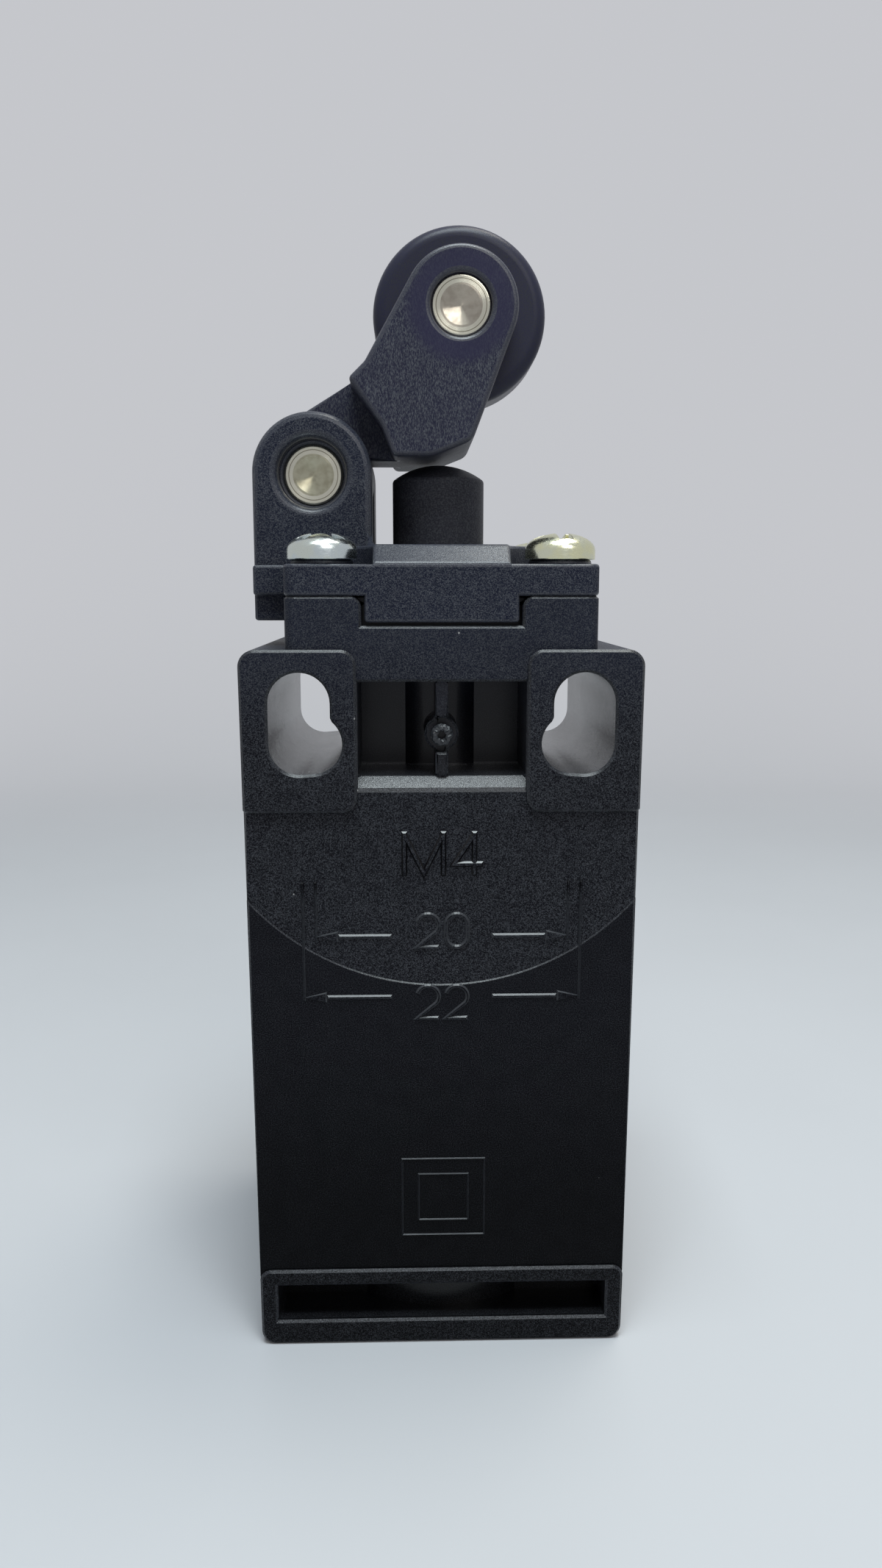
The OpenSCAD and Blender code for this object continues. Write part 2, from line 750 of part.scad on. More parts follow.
// Notches in the neck's top for the head's tongues
module tongue_notches() {
    half = tongue_w / 2 + tongue_gap;
    depth = tongue_t + tongue_gap;
    notch_z = neck_top - tongue_h - tongue_gap;
    both_ways()
        upright(-neck_w / 2 - past, -neck_w / 2 + depth)
            polygon([
                [-half, notch_z],
                [half, notch_z],
                [half, neck_top - tongue_lead],
                [half + tongue_lead, neck_top + eps],
                [-half - tongue_lead, neck_top + eps],
                [-half, neck_top - tongue_lead]
            ]);
}

// Places for the four head screws, at a height, each with its own turn
module at_head_screws(z) {
    for (i = [0:len(head_screw_sides) - 1])
        translate([0, axis_y, z])
            translate(head_screw_reach * head_screw_sides[i])
                rotate([0, 0, head_screw_turns[i]])
                    children();
}

// Places for the four cover screws, with +Z turned to the cover's front
module at_cover_screws(y) {
    for (x = [-cover_screw_x, cover_screw_x], z = cover_screw_zs)
        translate([x, y, z])
            rotate([-90, 0, 0])
                children();
}

// Places for the two screws of the contact block
module at_block_screws(y) {
    each_side()
        translate([column_x, y, block_screw_z])
            rotate([-90, 0, 0])
                children();
}

// Outline of the cover's gasket, grown by a gap
module gasket_outline(gap = 0) {
    inner = gasket_inset - gap;
    outer = gasket_inset + gasket_w + gap;
    translate([-chamber_w / 2, chamber_z])
        difference() {
            translate([-outer, -outer])
                square([chamber_w + 2 * outer, chamber_top - chamber_z + 2 * outer]);
            translate([-inner, -inner])
                square([chamber_w + 2 * inner, chamber_top - chamber_z + 2 * inner]);
        }
}

// Ring of the head's gasket, grown by a gap
module head_gasket_ring(gap = 0) {
    inner_r = cup_r + head_gasket_inset;
    translate([0, axis_y, neck_top - head_gasket_t])
        difference() {
            cylinder(h = head_gasket_t + gap, r = inner_r + head_gasket_w + gap);
            translate([0, 0, -eps])
                cylinder(h = head_gasket_t + past, r = inner_r - gap);
        }
}

module housing() color([0.07, 0.07, 0.08]) {
    difference() {
        housing_mass();
        box_x(chamber_w, chamber_back_y, front_y + past, chamber_z, chamber_top);
        axis_bar(entry_d / 2, -past, entry_len + past);
        each_side() upright(back_y - past, front_y + past) slot_outline();
        pocket_space();
        frame_recess();
        tongue_notches();
        axis_bar(cup_r, cup_z, neck_top + past);
        axis_bar(spring_bore_r, shelf_z, neck_top + past);
        axis_bar(stem_r + run_gap, chamber_top - past, neck_top + past);
        head_gasket_ring(fit_gap);
        at_head_screws(plate_top + head_seat_h - head_screw_len - screw_end_gap)
            cylinder(h = head_screw_len + past, d = head_screw_d + 2 * fit_gap);
        at_cover_screws(front_y - cover_screw_len)
            cylinder(h = cover_screw_len + past, d = cover_screw_d + 2 * fit_gap);
        upright(front_y - gasket_t, front_y + past) gasket_outline(fit_gap);
    }
    pocket_rib();
    at_block_screws(chamber_back_y - eps)
        difference() {
            cylinder(h = post_h + eps, d = post_d);
            translate([0, 0, 2 * eps])
                cylinder(h = post_h + past, d = block_screw_d + 2 * fit_gap);
        }
}

module front_cover() color([0.08, 0.08, 0.09]) {
    lip_w = chamber_w - 2 * free_gap;
    lip_z = chamber_z + free_gap;
    lip_top = chamber_top - free_gap;
    difference() {
        union() {
            upright(front_y, front_y + cover_t)
                translate([-cover_w / 2, cover_z])
                    rounded_rect(cover_w, cover_top - cover_z, foot_corner_r);
            box_x(lip_w, front_y - cover_lip_h, front_y + eps, lip_z, lip_top);
        }
        box_x(lip_w - 2 * cover_lip_t, front_y - cover_lip_h - past, front_y,
            lip_z + cover_lip_t, lip_top - cover_lip_t);
        at_cover_screws(front_y) {
            translate([0, 0, -past]) cylinder(h = cover_t + 2 * past, d = cover_screw_d + 2 * screw_gap);
            translate([0, 0, cover_t - cover_sink_h])
                cylinder(h = cover_sink_h + eps, d1 = cover_screw_d + 2 * drop_gap,
                    d2 = 2 * (cover_screw_d + drop_gap));
        }
    }
}

module cover_gasket() color([0.12, 0.12, 0.12])
    upright(front_y - gasket_t, front_y) gasket_outline();

module cover_screws() color("silver") {
    shank = cover_screw_len + cover_t - screw_end_gap;
    at_cover_screws(front_y + cover_t)
        difference() {
            union() {
                translate([0, 0, -cover_sink_h])
                    cylinder(h = cover_sink_h, d1 = cover_screw_d, d2 = 2 * cover_screw_d);
                translate([0, 0, -shank]) cylinder(h = shank - cover_sink_h / 2, d = cover_screw_d);
            }
            cross_recess(cover_cross_w, cover_cross_len, cover_cross_d);
        }
}

// One lowered corner of the head's plate, around a screw
module screw_corner() {
    edge = head_screw_inset + past;
    height = plateau_t + past;
    cylinder(h = height, r = head_recess_r);
    translate([-head_recess_r, 0, 0]) cube([head_recess_r + edge, edge, height]);
    translate([0, -head_recess_r, 0]) cube([edge, head_recess_r + edge, height]);
}

// Bevel along one edge of the plateau
module plateau_bevel() {
    edge_y = -neck_w / 2;
    rotate([90, 0, 90])
        linear_extrude(neck_w + 2 * past, center = true)
            polygon([
                [edge_y - past, 0],
                [edge_y, 0],
                [edge_y + plateau_t, plateau_t + eps],
                [edge_y - past, plateau_t + past]
            ]);
}

// Outline of one clevis ear, from the plate's underside to its round top
module ear_outline() {
    translate([pivot_x, pivot_z]) circle(ear_r);
    translate([pivot_x - ear_r, neck_top]) square([2 * ear_r, pivot_z - neck_top]);
}

// Lug that carries the ears beyond the plate: proud of them at the plate, and hanging down beside the neck
module clevis_lug() {
    overhang = pivot_dx + ear_r - neck_w / 2;
    proud_w = clevis_w + 2 * lug_proud;
    translate([pivot_x - ear_r, axis_y - proud_w / 2, neck_top])
        cube([overhang + neck_corner_r, proud_w, plate_t]);
    translate([pivot_x - ear_r, axis_y - clevis_w / 2, neck_top - lug_drop])
        cube([overhang - lug_gap, clevis_w, lug_drop + eps]);
}

module head_mass() {
    difference() {
        translate([0, 0, neck_top]) linear_extrude(plate_t + plateau_t) neck_outline();
        for (sx = [0, 1], sy = [0, 1])
            translate([0, axis_y, plate_top])
                mirror([sx, 0, 0])
                    mirror([0, sy, 0])
                        translate([head_screw_reach, head_screw_reach, 0])
                            screw_corner();
        both_ways() translate([0, 0, plate_top]) plateau_bevel();
    }
    at_head_screws(plate_top - eps) cylinder(h = head_seat_h + eps, d = head_seat_d);
    both_ways()
        box_x(tongue_w, -neck_w / 2, -neck_w / 2 + tongue_t, neck_top - tongue_h, neck_top + eps);
    upright(axis_y - clevis_w / 2, axis_y + clevis_w / 2) ear_outline();
    clevis_lug();
}

module head() color([0.09, 0.09, 0.1])
    difference() {
        head_mass();
        translate([pivot_x - ear_r - past, axis_y - clevis_gap / 2, plateau_top])
            cube([2 * (ear_r + past), clevis_gap, pivot_rise + ear_r + past]);
        bar_y(pivot_x, pivot_z, pivot_pin_d / 2 + fit_gap, axis_y - clevis_w, axis_y + clevis_w);
        translate([pivot_x, axis_y, pivot_z]) {
            pin_mouth();
            mirror([0, 1, 0]) pin_mouth();
        }
        axis_bar(plunger_r + run_gap, neck_top - past, plateau_top + past);
        axis_bar(seal_d / 2 + fit_gap, plateau_top - seal_t, plateau_top + past);
        at_head_screws(neck_top - past)
            cylinder(h = plate_t + plateau_t + 2 * past, d = head_screw_d + 2 * screw_gap);
    }

// Bevelled mouth of the hole in an ear, drawn for the near one, where the pivot pin's end is set back
module pin_mouth() {
    mouth_r = pivot_pin_d / 2 + pivot_mouth_gap;
    ear_face = clevis_w / 2;
    rotate([90, 0, 0]) {
        translate([0, 0, ear_face - pivot_pin_recess]) cylinder(h = pivot_pin_recess + past, r = mouth_r);
        translate([0, 0, ear_face - mouth_bevel])
            cylinder(h = mouth_bevel + eps, r1 = mouth_r, r2 = mouth_r + mouth_bevel + eps);
    }
}

module head_gasket() color([0.15, 0.15, 0.15]) head_gasket_ring();

module head_screws() color([0.78, 0.8, 0.82])
    at_head_screws(plate_top + head_seat_h) {
        difference() {
            pan_head(head_screw_head_d, head_screw_head_h, head_screw_rim);
            translate([0, 0, head_screw_head_h]) cross_recess(head_slot_w, head_slot_len, head_slot_d);
        }
        translate([0, 0, -head_screw_len]) cylinder(h = head_screw_len + eps, d = head_screw_d);
    }

module plunger_seal() color([0.05, 0.05, 0.05])
    difference() {
        axis_bar(seal_d / 2, plateau_top - seal_t, plateau_top);
        axis_bar(plunger_r + run_gap, plateau_top - seal_t - past, plateau_top + past);
    }

module plunger() color([0.06, 0.06, 0.07]) {
    intersection() {
        axis_bar(plunger_r, collar_z + eps, plunger_top);
        translate([0, axis_y, plunger_top - dome_r]) sphere(dome_r);
        axis_bar(plunger_d, plunger_top - dome_r, plunger_top);
    }
    axis_bar(plunger_r, collar_z, plunger_top - dome_h);
    axis_bar(collar_d / 2, collar_z, collar_top);
    axis_bar(stem_r, stem_end, collar_z + eps);
}

module return_spring() color("silver")
    translate([0, axis_y, shelf_z])
        coil_spring(return_spring_r, return_wire_d, collar_z - shelf_z - inner_gap, return_turns);

// Outline of a fork cheek, drawn from the pivot
module cheek_outline() {
    centre = [roller_dx, roller_dz];
    nape = [heel_dx + nape_dx, heel_dz + nape_dz];
    toe = [foot_dx + foot_len + toe_len, foot_dz + toe_rise];
    left = tangent_point(nape, centre, fork_r, 1);
    right = tangent_point(toe, centre, fork_r, -1);
    translate(centre) circle(fork_r);
    rounded_outline([
        [left[0], left[1], 0],
        [nape[0], nape[1], nape_r],
        [heel_dx, heel_dz, heel_r],
        [foot_dx - shin_dx, foot_dz + shin_dz, shin_r],
        [foot_dx, foot_dz, foot_r],
        [foot_dx + foot_len, foot_dz, toe_bend_r],
        [toe[0], toe[1], toe_r],
        [right[0], right[1], 0],
        [centre[0], centre[1], 0]
    ]);
}

// Outline of the hub, the arm and the web under the roller, drawn from the pivot
module web_outline() {
    arm_start = hub_r * [cos(90 + arm_slope), sin(90 + arm_slope)];
    arm_run = heel_dx + nape_dx / 2 - arm_start[0];
    foot_mid = foot_dx + foot_len / 2;
    circle(hub_r);
    difference() {
        union() {
            polygon([
                arm_start,
                arm_start + arm_run * [1, tan(arm_slope)],
                [foot_mid, heel_dz],
                [foot_mid, foot_dz],
                [0, foot_dz]
            ]);
            cheek_outline();
        }
        translate([roller_dx, roller_dz]) circle(roller_d / 2 + roller_gap);
    }
}

module roller_lever() color([0.13, 0.13, 0.15])
    difference() {
        translate([pivot_x, 0, pivot_z]) {
            upright(axis_y - lever_w / 2, axis_y + lever_w / 2) web_outline();
            for (from_y = [axis_y - fork_w / 2, axis_y + lever_w / 2 - eps])
                upright(from_y, from_y + cheek_t + eps) cheek_outline();
        }
        bar_y(pivot_x, pivot_z, pivot_pin_d / 2 + run_gap, axis_y - lever_w, axis_y + lever_w);
        bar_y(roller_x, roller_z, roller_pin_d / 2 + fit_gap, axis_y - fork_w, axis_y + fork_w);
    }

module roller() color([0.1, 0.1, 0.14])
    translate([roller_x, axis_y + roller_w / 2, roller_z])
        rotate([90, 0, 0])
            difference() {
                rotate_extrude() {
                    rim = roller_d / 2 - roller_edge_r;
                    square([rim, roller_w]);
                    translate([0, roller_edge_r]) square([roller_d / 2, roller_w - 2 * roller_edge_r]);
                    for (y = [roller_edge_r, roller_w - roller_edge_r])
                        translate([rim, y]) circle(roller_edge_r);
                }
                translate([0, 0, -past]) cylinder(h = roller_w + 2 * past, d = roller_pin_d + 2 * run_gap);
            }

// Turned pin along Y with bevelled ends and a dimple in each
module turned_pin(x, z, d, length) {
    r = d / 2;
    translate([x, axis_y, z])
        rotate([90, 0, 0])
            rotate_extrude()
                polygon([
                    [0, -length / 2 + pin_dimple],
                    [pin_dimple_d / 2, -length / 2],
                    [r - pin_bevel, -length / 2],
                    [r, -length / 2 + pin_bevel],
                    [r, length / 2 - pin_bevel],
                    [r - pin_bevel, length / 2],
                    [pin_dimple_d / 2, length / 2],
                    [0, length / 2 - pin_dimple]
                ]);
}

module roller_pin() color([0.75, 0.74, 0.7])
    turned_pin(roller_x, roller_z, roller_pin_d, fork_w - 2 * roller_pin_recess);

module pivot_pin() color([0.75, 0.74, 0.7])
    turned_pin(pivot_x, pivot_z, pivot_pin_d, clevis_w - 2 * pivot_pin_recess);

// Right-hand fixed contact without its hole and tip, grown by a gap
module terminal_space(strip_z, up, gap = 0) {
    reach = tip_d / 2 + tip_margin;
    plate_x = strip_end_x - terminal_w;
    plate_z = up > 0 ? strip_z : strip_z + strip_t - terminal_h;
    grow = [gap, gap, gap];
    translate([strip_tip_x, axis_y - reach, strip_z] - grow)
        cube([strip_end_x - strip_tip_x, 2 * reach, strip_t] + 2 * grow);
    translate([plate_x, axis_y - reach, strip_z] - grow)
        cube([terminal_w, block_front_y + strip_t - axis_y + reach, strip_t] + 2 * grow);
    translate([plate_x - gap, block_front_y, plate_z - gap])
        cube([terminal_w, strip_t, terminal_h] + 2 * grow);
}

// Height of a terminal's screw
function terminal_z(strip_z, up) =
    up > 0 ? strip_z + (terminal_h + strip_t) / 2 : strip_z - (terminal_h - strip_t) / 2;

// Fixed contact on the right-hand side: the terminal stands up or hangs down from the strip
module fixed_terminal(strip_z, up) color([0.72, 0.6, 0.3]) {
    tip_z = up > 0 ? strip_z + strip_t - eps : strip_z - tip_h;
    difference() {
        terminal_space(strip_z, up);
        bar_y(terminal_x, terminal_z(strip_z, up), terminal_screw_d / 2 + fit_gap,
            block_front_y - past, block_front_y + strip_t + past);
    }
    translate([tip_dx, axis_y, tip_z]) cylinder(h = tip_h + eps, d = tip_d);
}

module nc_terminal_right() fixed_terminal(nc_strip_z, -1);
module nc_terminal_left() mirror([1, 0, 0]) fixed_terminal(nc_strip_z, -1);
module no_terminal_right() fixed_terminal(no_strip_z, 1);
module no_terminal_left() mirror([1, 0, 0]) fixed_terminal(no_strip_z, 1);

// Places for the four terminal screws, with +Z turned to the cover
module at_terminals(y) {
    for (z = [terminal_z(nc_strip_z, -1), terminal_z(no_strip_z, 1)])
        each_side()
            translate([terminal_x, y, z])
                rotate([-90, 0, 0])
                    children();
}

module terminal_screws() color("silver")
    at_terminals(block_front_y + strip_t + clamp_t) small_screw(terminal_screw_d, terminal_screw_len);

module clamp_plates() color("gainsboro")
    at_terminals(block_front_y + strip_t)
        difference() {
            translate([-terminal_head_d / 2, -terminal_head_d / 2, 0])
                cube([terminal_head_d, terminal_head_d, clamp_t]);
            translate([0, 0, -past]) cylinder(h = clamp_t + 2 * past, d = terminal_screw_d + 2 * drop_gap);
        }

module contact_block() color([0.85, 0.83, 0.78])
    difference() {
        box_x(block_w, block_back_y, block_front_y, block_z, block_top);
        box_x(cavity_w, cavity_back_y, block_front_y + past, block_z + block_wall, block_top - block_wall);
        axis_bar(stem_r + run_gap, block_top - block_wall - past, block_top + past);
        each_side() terminal_space(nc_strip_z, -1, run_gap);
        each_side() terminal_space(no_strip_z, 1, run_gap);
        at_terminals(block_front_y - terminal_screw_len)
            cylinder(h = terminal_screw_len + past, d = terminal_screw_d + 2 * drop_gap);
        at_block_screws(block_back_y - past)
            cylinder(h = block_d + 2 * past, d = block_screw_d + 2 * drop_gap);
    }

module block_cover() color([0.7, 0.2, 0.15]) {
    w = 2 * (strip_end_x - terminal_w - 2 * drop_gap);
    box_x(w, block_front_y, block_front_y + block_cover_t,
        block_z + block_cover_inset, block_top - block_cover_inset);
}

module block_screws() color("silver")
    at_block_screws(block_front_y) small_screw(block_screw_d, block_d + post_h - screw_end_gap);

module contact_carrier() color([0.9, 0.9, 0.88]) {
    slot_reach = bridge_d / 2 + drop_gap;
    difference() {
        box_x(carrier_w, axis_y - carrier_d / 2, axis_y + carrier_d / 2, carrier_z, carrier_neck_z);
        for (z = [nc_window_z, no_window_z])
            box_x(carrier_w + 2 * past, axis_y - slot_reach, axis_y + slot_reach, z, z + window_h);
    }
    axis_bar(stem_r, carrier_neck_z - eps, carrier_top);
}

// Contact bridge with its underside at a height, and its tips above or below
module bridge(z, up) color([0.75, 0.5, 0.3]) {
    tip_z = up > 0 ? z + bridge_t - eps : z - tip_h;
    box_x(bridge_len, axis_y - bridge_d / 2, axis_y + bridge_d / 2, z, z + bridge_t);
    each_side() translate([tip_dx, axis_y, tip_z]) cylinder(h = tip_h + eps, d = tip_d);
}

module nc_bridge() bridge(nc_bridge_z, 1);
module no_bridge() bridge(no_bridge_z, -1);

module contact_springs() color("silver") {
    r = bridge_d / 2 - spring_wire_d;
    translate([0, axis_y, nc_window_z])
        coil_spring(r, spring_wire_d, nc_bridge_z - nc_window_z, contact_turns);
    translate([0, axis_y, no_bridge_z + bridge_t])
        coil_spring(r, spring_wire_d, window_h - bridge_t, contact_turns);
}

module carrier_spring() color("silver") {
    r = carrier_w / 2 - spring_wire_d;
    translate([0, axis_y, block_z + block_wall])
        coil_spring(r, spring_wire_d, carrier_room + travel - inner_gap, carrier_turns);
}

housing();
front_cover();
cover_gasket();
cover_screws();
head();
head_gasket();
head_screws();
plunger_seal();
plunger();
return_spring();
roller_lever();
roller();
roller_pin();
pivot_pin();
contact_block();
block_cover();
block_screws();
contact_carrier();
nc_bridge();
no_bridge();
contact_springs();
carrier_spring();
nc_terminal_left();
nc_terminal_right();
no_terminal_left();
no_terminal_right();
terminal_screws();
clamp_plates();
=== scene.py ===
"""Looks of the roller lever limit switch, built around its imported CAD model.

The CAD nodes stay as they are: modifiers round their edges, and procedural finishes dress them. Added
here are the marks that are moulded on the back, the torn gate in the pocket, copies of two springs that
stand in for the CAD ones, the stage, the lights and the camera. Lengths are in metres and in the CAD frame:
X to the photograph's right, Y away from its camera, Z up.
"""
import math
import random
from functools import partial, reduce

import bmesh
import bpy
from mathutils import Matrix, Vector


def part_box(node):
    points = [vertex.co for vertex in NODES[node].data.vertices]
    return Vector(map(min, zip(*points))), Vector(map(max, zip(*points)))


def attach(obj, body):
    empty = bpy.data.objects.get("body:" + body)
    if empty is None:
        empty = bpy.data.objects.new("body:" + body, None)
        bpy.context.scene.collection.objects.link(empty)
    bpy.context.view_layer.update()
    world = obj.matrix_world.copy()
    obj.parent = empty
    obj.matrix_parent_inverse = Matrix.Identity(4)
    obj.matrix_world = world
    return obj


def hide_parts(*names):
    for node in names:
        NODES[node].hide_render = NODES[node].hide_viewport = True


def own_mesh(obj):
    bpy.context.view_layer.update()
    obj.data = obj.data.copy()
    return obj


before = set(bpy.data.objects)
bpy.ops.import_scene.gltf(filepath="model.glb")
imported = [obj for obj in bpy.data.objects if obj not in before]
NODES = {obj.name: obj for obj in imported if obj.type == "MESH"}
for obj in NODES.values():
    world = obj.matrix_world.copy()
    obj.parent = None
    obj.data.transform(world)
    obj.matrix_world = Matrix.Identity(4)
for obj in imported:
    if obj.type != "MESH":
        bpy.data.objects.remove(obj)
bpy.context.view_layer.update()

MM = 0.001

# Photograph
IMAGE_HEIGHT_PX = 2133
FOCAL_PX = 1564.65
SENSOR = 36.0
CAMERA_PLACE = Vector((-2.496, -102.746, 62.691)) * MM
CAMERA_PITCH = math.radians(80.329)
CAMERA_YAW = math.radians(-1.565)
CAMERA_NEAR = 5 * MM

# The back: the pads' face, the grained face, and the smooth panel below the arc
MOUNT_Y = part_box("housing")[0].y
FACE_Y = MOUNT_Y + 0.45 * MM
PANEL_Y = FACE_Y - 0.12 * MM
ARC_Z = 51.7 * MM
ARC_R = 20.3 * MM
ARC_CENTRE = Vector((0, 0, ARC_Z))
ARC_BLUR = 0.05 * MM

# The slots: a round hole, and the upright slot beside it as three circles
SLOT_Z = 50.82 * MM
SLOT_POINTS = ((10, 0), (11, 0), (11, 1.57), (11, 3.13))
SLOT_CENTRES = [Vector((x * MM, 0, SLOT_Z + rise * MM)) for x, rise in SLOT_POINTS]
SLOT_OUTER_R = 2.75 * MM
SLOT_INNER_R = 2.6 * MM

# The pocket with the slope below it, and the recess in the foot
POCKET_HALF_WIDTH = 6.5 * MM
POCKET_LOW_Z = 48.2 * MM
POCKET_SLOPE_HALF_WIDTH = 6.6 * MM
POCKET_SLOPE_Z = 47.7 * MM
POCKET_SLOPE_HALF_HEIGHT = 0.6 * MM
FOOT_HALF_WIDTH = 13.4 * MM
FOOT_HIGH_Z = 5.6 * MM
RECESS_DEPTH = 8.2 * MM
GATE = Vector((0, MOUNT_Y + 1.1 * MM, 51.4 * MM))

# The head and the lever
ROLLER_CENTRE = sum(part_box("roller"), Vector()) / 2
PIVOT_CENTRE = sum(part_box("pivot_pin"), Vector()) / 2
PLATEAU_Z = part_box("plunger_seal")[1].z
PLATEAU_DEPTH = 1.45 * MM


class Graph:
    """A tree of nodes that are added with their inputs. place is the socket of the position."""

    def __init__(self, tree):
        self.tree = tree
        self.place = None

    def plug(self, node, inputs):
        """Links each input that is given a socket, and sets each one that is given a value."""
        for key, value in inputs.items():
            if isinstance(value, bpy.types.NodeSocket):
                self.tree.links.new(value, node.inputs[key])
            else:
                node.inputs[key].default_value = value

    def add(self, kind, inputs=None, **settings):
        node = self.tree.nodes.new(kind)
        for key, value in settings.items():
            setattr(node, key, value)
        self.plug(node, inputs or {})
        return node

    def math(self, operation, *values):
        return self.add("ShaderNodeMath", dict(enumerate(values)), operation=operation).outputs[0]

    def vector(self, operation, *values):
        return self.add("ShaderNodeVectorMath", dict(enumerate(values)), operation=operation).outputs

    def axes(self):
        return self.add("ShaderNodeSeparateXYZ", {0: self.place}).outputs

    def from_axis(self, centre):
        """Distance from a line along Y through a point."""
        flat = self.vector("MULTIPLY", self.place, (1, 0, 1))[0]
        return self.vector("DISTANCE", flat, (centre[0], 0, centre[2]))["Value"]


# Finishes


class Finish(Graph):
    """A procedural material on one Principled shader. Sizes in it are real, read from object coordinates."""

    def __init__(self, name, **sockets):
        self.material = bpy.data.materials.new(name)
        self.material.use_nodes = True
        super().__init__(self.material.node_tree)
        self.shader = self.tree.nodes["Principled BSDF"]
        self.plug(self.shader, {key.replace("_", " "): value for key, value in sockets.items()})
        self.place = self.add("ShaderNodeTexCoord").outputs["Object"]

    def fold(self, operation, *values):
        """Joins any number of values by an operation that takes two."""
        return reduce(partial(self.math, operation), values)

    def between(self, value, low, high, to_low=0.0, to_high=1.0):
        """Value smoothly brought from the range low..high to to_low..to_high."""
        ranges = {"Value": value, "From Min": low, "From Max": high, "To Min": to_low, "To Max": to_high}
        node = self.add("ShaderNodeMapRange", ranges, interpolation_type="SMOOTHSTEP")
        return node.outputs["Result"]

    def mix(self, share, first, second):
        """Colour between two colours. The colour sockets have the indices 6, 7 and, for the result, 2."""
        node = self.add("ShaderNodeMix", data_type="RGBA")
        self.plug(node, {"Factor": share})
        for index, value in ((6, first), (7, second)):
            self.plug(node, {index: value if isinstance(value, bpy.types.NodeSocket) else (*value, 1)})
        return node.outputs[2]

    def noise(self, size, detail, stretch=None, harsh=0.5):
        where = self.vector("MULTIPLY", self.place, stretch)[0] if stretch else self.place
        inputs = {"Vector": where, "Scale": 1 / size, "Detail": detail, "Roughness": harsh}
        return self.add("ShaderNodeTexNoise", inputs).outputs["Fac"]

    def cells(self, size):
        """Voronoi cells of a size: the distance to the cell's middle, and a random value for each cell."""
        node = self.add("ShaderNodeTexVoronoi", {"Vector": self.place, "Scale": 1 / size})
        colour = self.add("ShaderNodeSeparateColor", {"Color": node.outputs["Color"]})
        return node.outputs["Distance"], colour.outputs["Red"]

    def bump(self, height, depth, strength=1.0):
        """Gives the shader's normal a relief of a real depth."""
        node = self.add("ShaderNodeBump", {"Height": height, "Distance": depth, "Strength": strength})
        self.plug(self.shader, {"Normal": node.outputs["Normal"]})
        return node.outputs["Normal"]


# Painted glints: the grain's light points are lighter colour that stands for its sparkle
GLINT_HUE = Vector((0.92, 0.97, 1.12))
GLINT_ON_PALE = 1.15
GLINT_RANGE = (0.43, 0.64)
DUST = (0.3, 0.3, 0.3)
COAT_ROUGHNESS = 0.26
FINE_GRAIN = 0.4
PATCH_SIZE = 1.6 * MM
CLOUD_SIZE = 5 * MM
CLOUD_SHADE = 0.4
SPECK_SPACING = 1.3 * MM
SPECK_RANGE = (0.07, 0.04)
SMOOTHER = 0.14


def moulded(name, colour, roughness, grain, relief, smooth=None, glint=0.065, specular=0.1, streak=None,
            coat=None, dusty=0.015):
    """Moulded plastic: spark-eroded grain with light points painted in as glints, cloudy tint and gloss, a
    few dust specks.

    smooth, a function of the finish, gives the share of the grain that is missing at a place, and coat
    the share of a glossy skin. The colour may be a function of the finish too. The argument after smooth
    is the brightness of the light points, which are painted glints, or None where they only lift the
    colour. dusty is the share of cells with a speck.
    """
    finish = Finish(name, Specular_IOR_Level=specular, Coat_Roughness=COAT_ROUGHNESS)
    missing = smooth(finish) if smooth else 0.0
    kept = finish.math("SUBTRACT", 1.0, missing)
    coarse = finish.noise(grain, 2, streak)
    fine = finish.math("MULTIPLY", finish.noise(FINE_GRAIN * grain, 1), 0.5)
    normal = finish.bump(finish.math("ADD", coarse, fine), relief, kept)
    patches = finish.between(finish.noise(PATCH_SIZE, 3), 0.3, 0.7, 0.9, 1.15)
    # Light points of the grain, painted into the colour as glints
    points = finish.between(finish.noise(grain, 4, streak, 0.8), *GLINT_RANGE)
    clouds = finish.noise(CLOUD_SIZE, 4)
    distance, chance = finish.cells(SPECK_SPACING)
    chosen = finish.math("GREATER_THAN", chance, 1 - dusty)
    specks = finish.math("MULTIPLY", chosen, finish.between(distance, *SPECK_RANGE))
    base = colour(finish) if callable(colour) else colour
    body = finish.mix(finish.math("MULTIPLY", clouds, CLOUD_SHADE), base, (0, 0, 0))
    light = glint * GLINT_HUE if glint else GLINT_ON_PALE * Vector(colour)
    glint_painted = finish.mix(finish.fold("MULTIPLY", points, kept, patches), body, tuple(light))
    rough = finish.between(clouds, 0.3, 0.7, roughness - 0.02, roughness + 0.03)
    finish.plug(finish.shader, {
        "Base Color": finish.mix(specks, glint_painted, DUST),
        "Roughness": finish.math("SUBTRACT", rough, finish.math("MULTIPLY", missing, SMOOTHER)),
    })
    if coat:
        finish.plug(finish.shader, {"Coat Weight": coat(finish), "Coat Normal": normal})
    return finish.material


def below_arc(finish):
    """1 on the back's lower panel, which was moulded smoother than the rest."""
    place = finish.axes()
    outside = finish.between(finish.from_axis(ARC_CENTRE), ARC_R - ARC_BLUR, ARC_R + ARC_BLUR)
    lower = finish.math("LESS_THAN", place["Z"], ARC_Z - 10 * MM)
    back = finish.math("LESS_THAN", place["Y"], PANEL_Y + 0.06 * MM)
    framed = finish.math("GREATER_THAN", place["Y"], MOUNT_Y + 0.1 * MM)
    return finish.fold("MULTIPLY", outside, lower, back, framed)


def in_slots(finish):
    """1 on the walls of the two mounting slots, inside their mouths."""
    mirrored = finish.vector("ABSOLUTE", finish.place)[0]
    flat = finish.vector("MULTIPLY", mirrored, (1, 0, 1))[0]
    reach = [finish.vector("DISTANCE", flat, centre)["Value"] for centre in SLOT_CENTRES]
    inside = finish.between(finish.fold("MINIMUM", *reach), SLOT_OUTER_R, SLOT_INNER_R)
    deep = finish.between(finish.axes()["Y"], MOUNT_Y + 0.1 * MM, MOUNT_Y + 0.4 * MM)
    return finish.math("MULTIPLY", inside, deep)


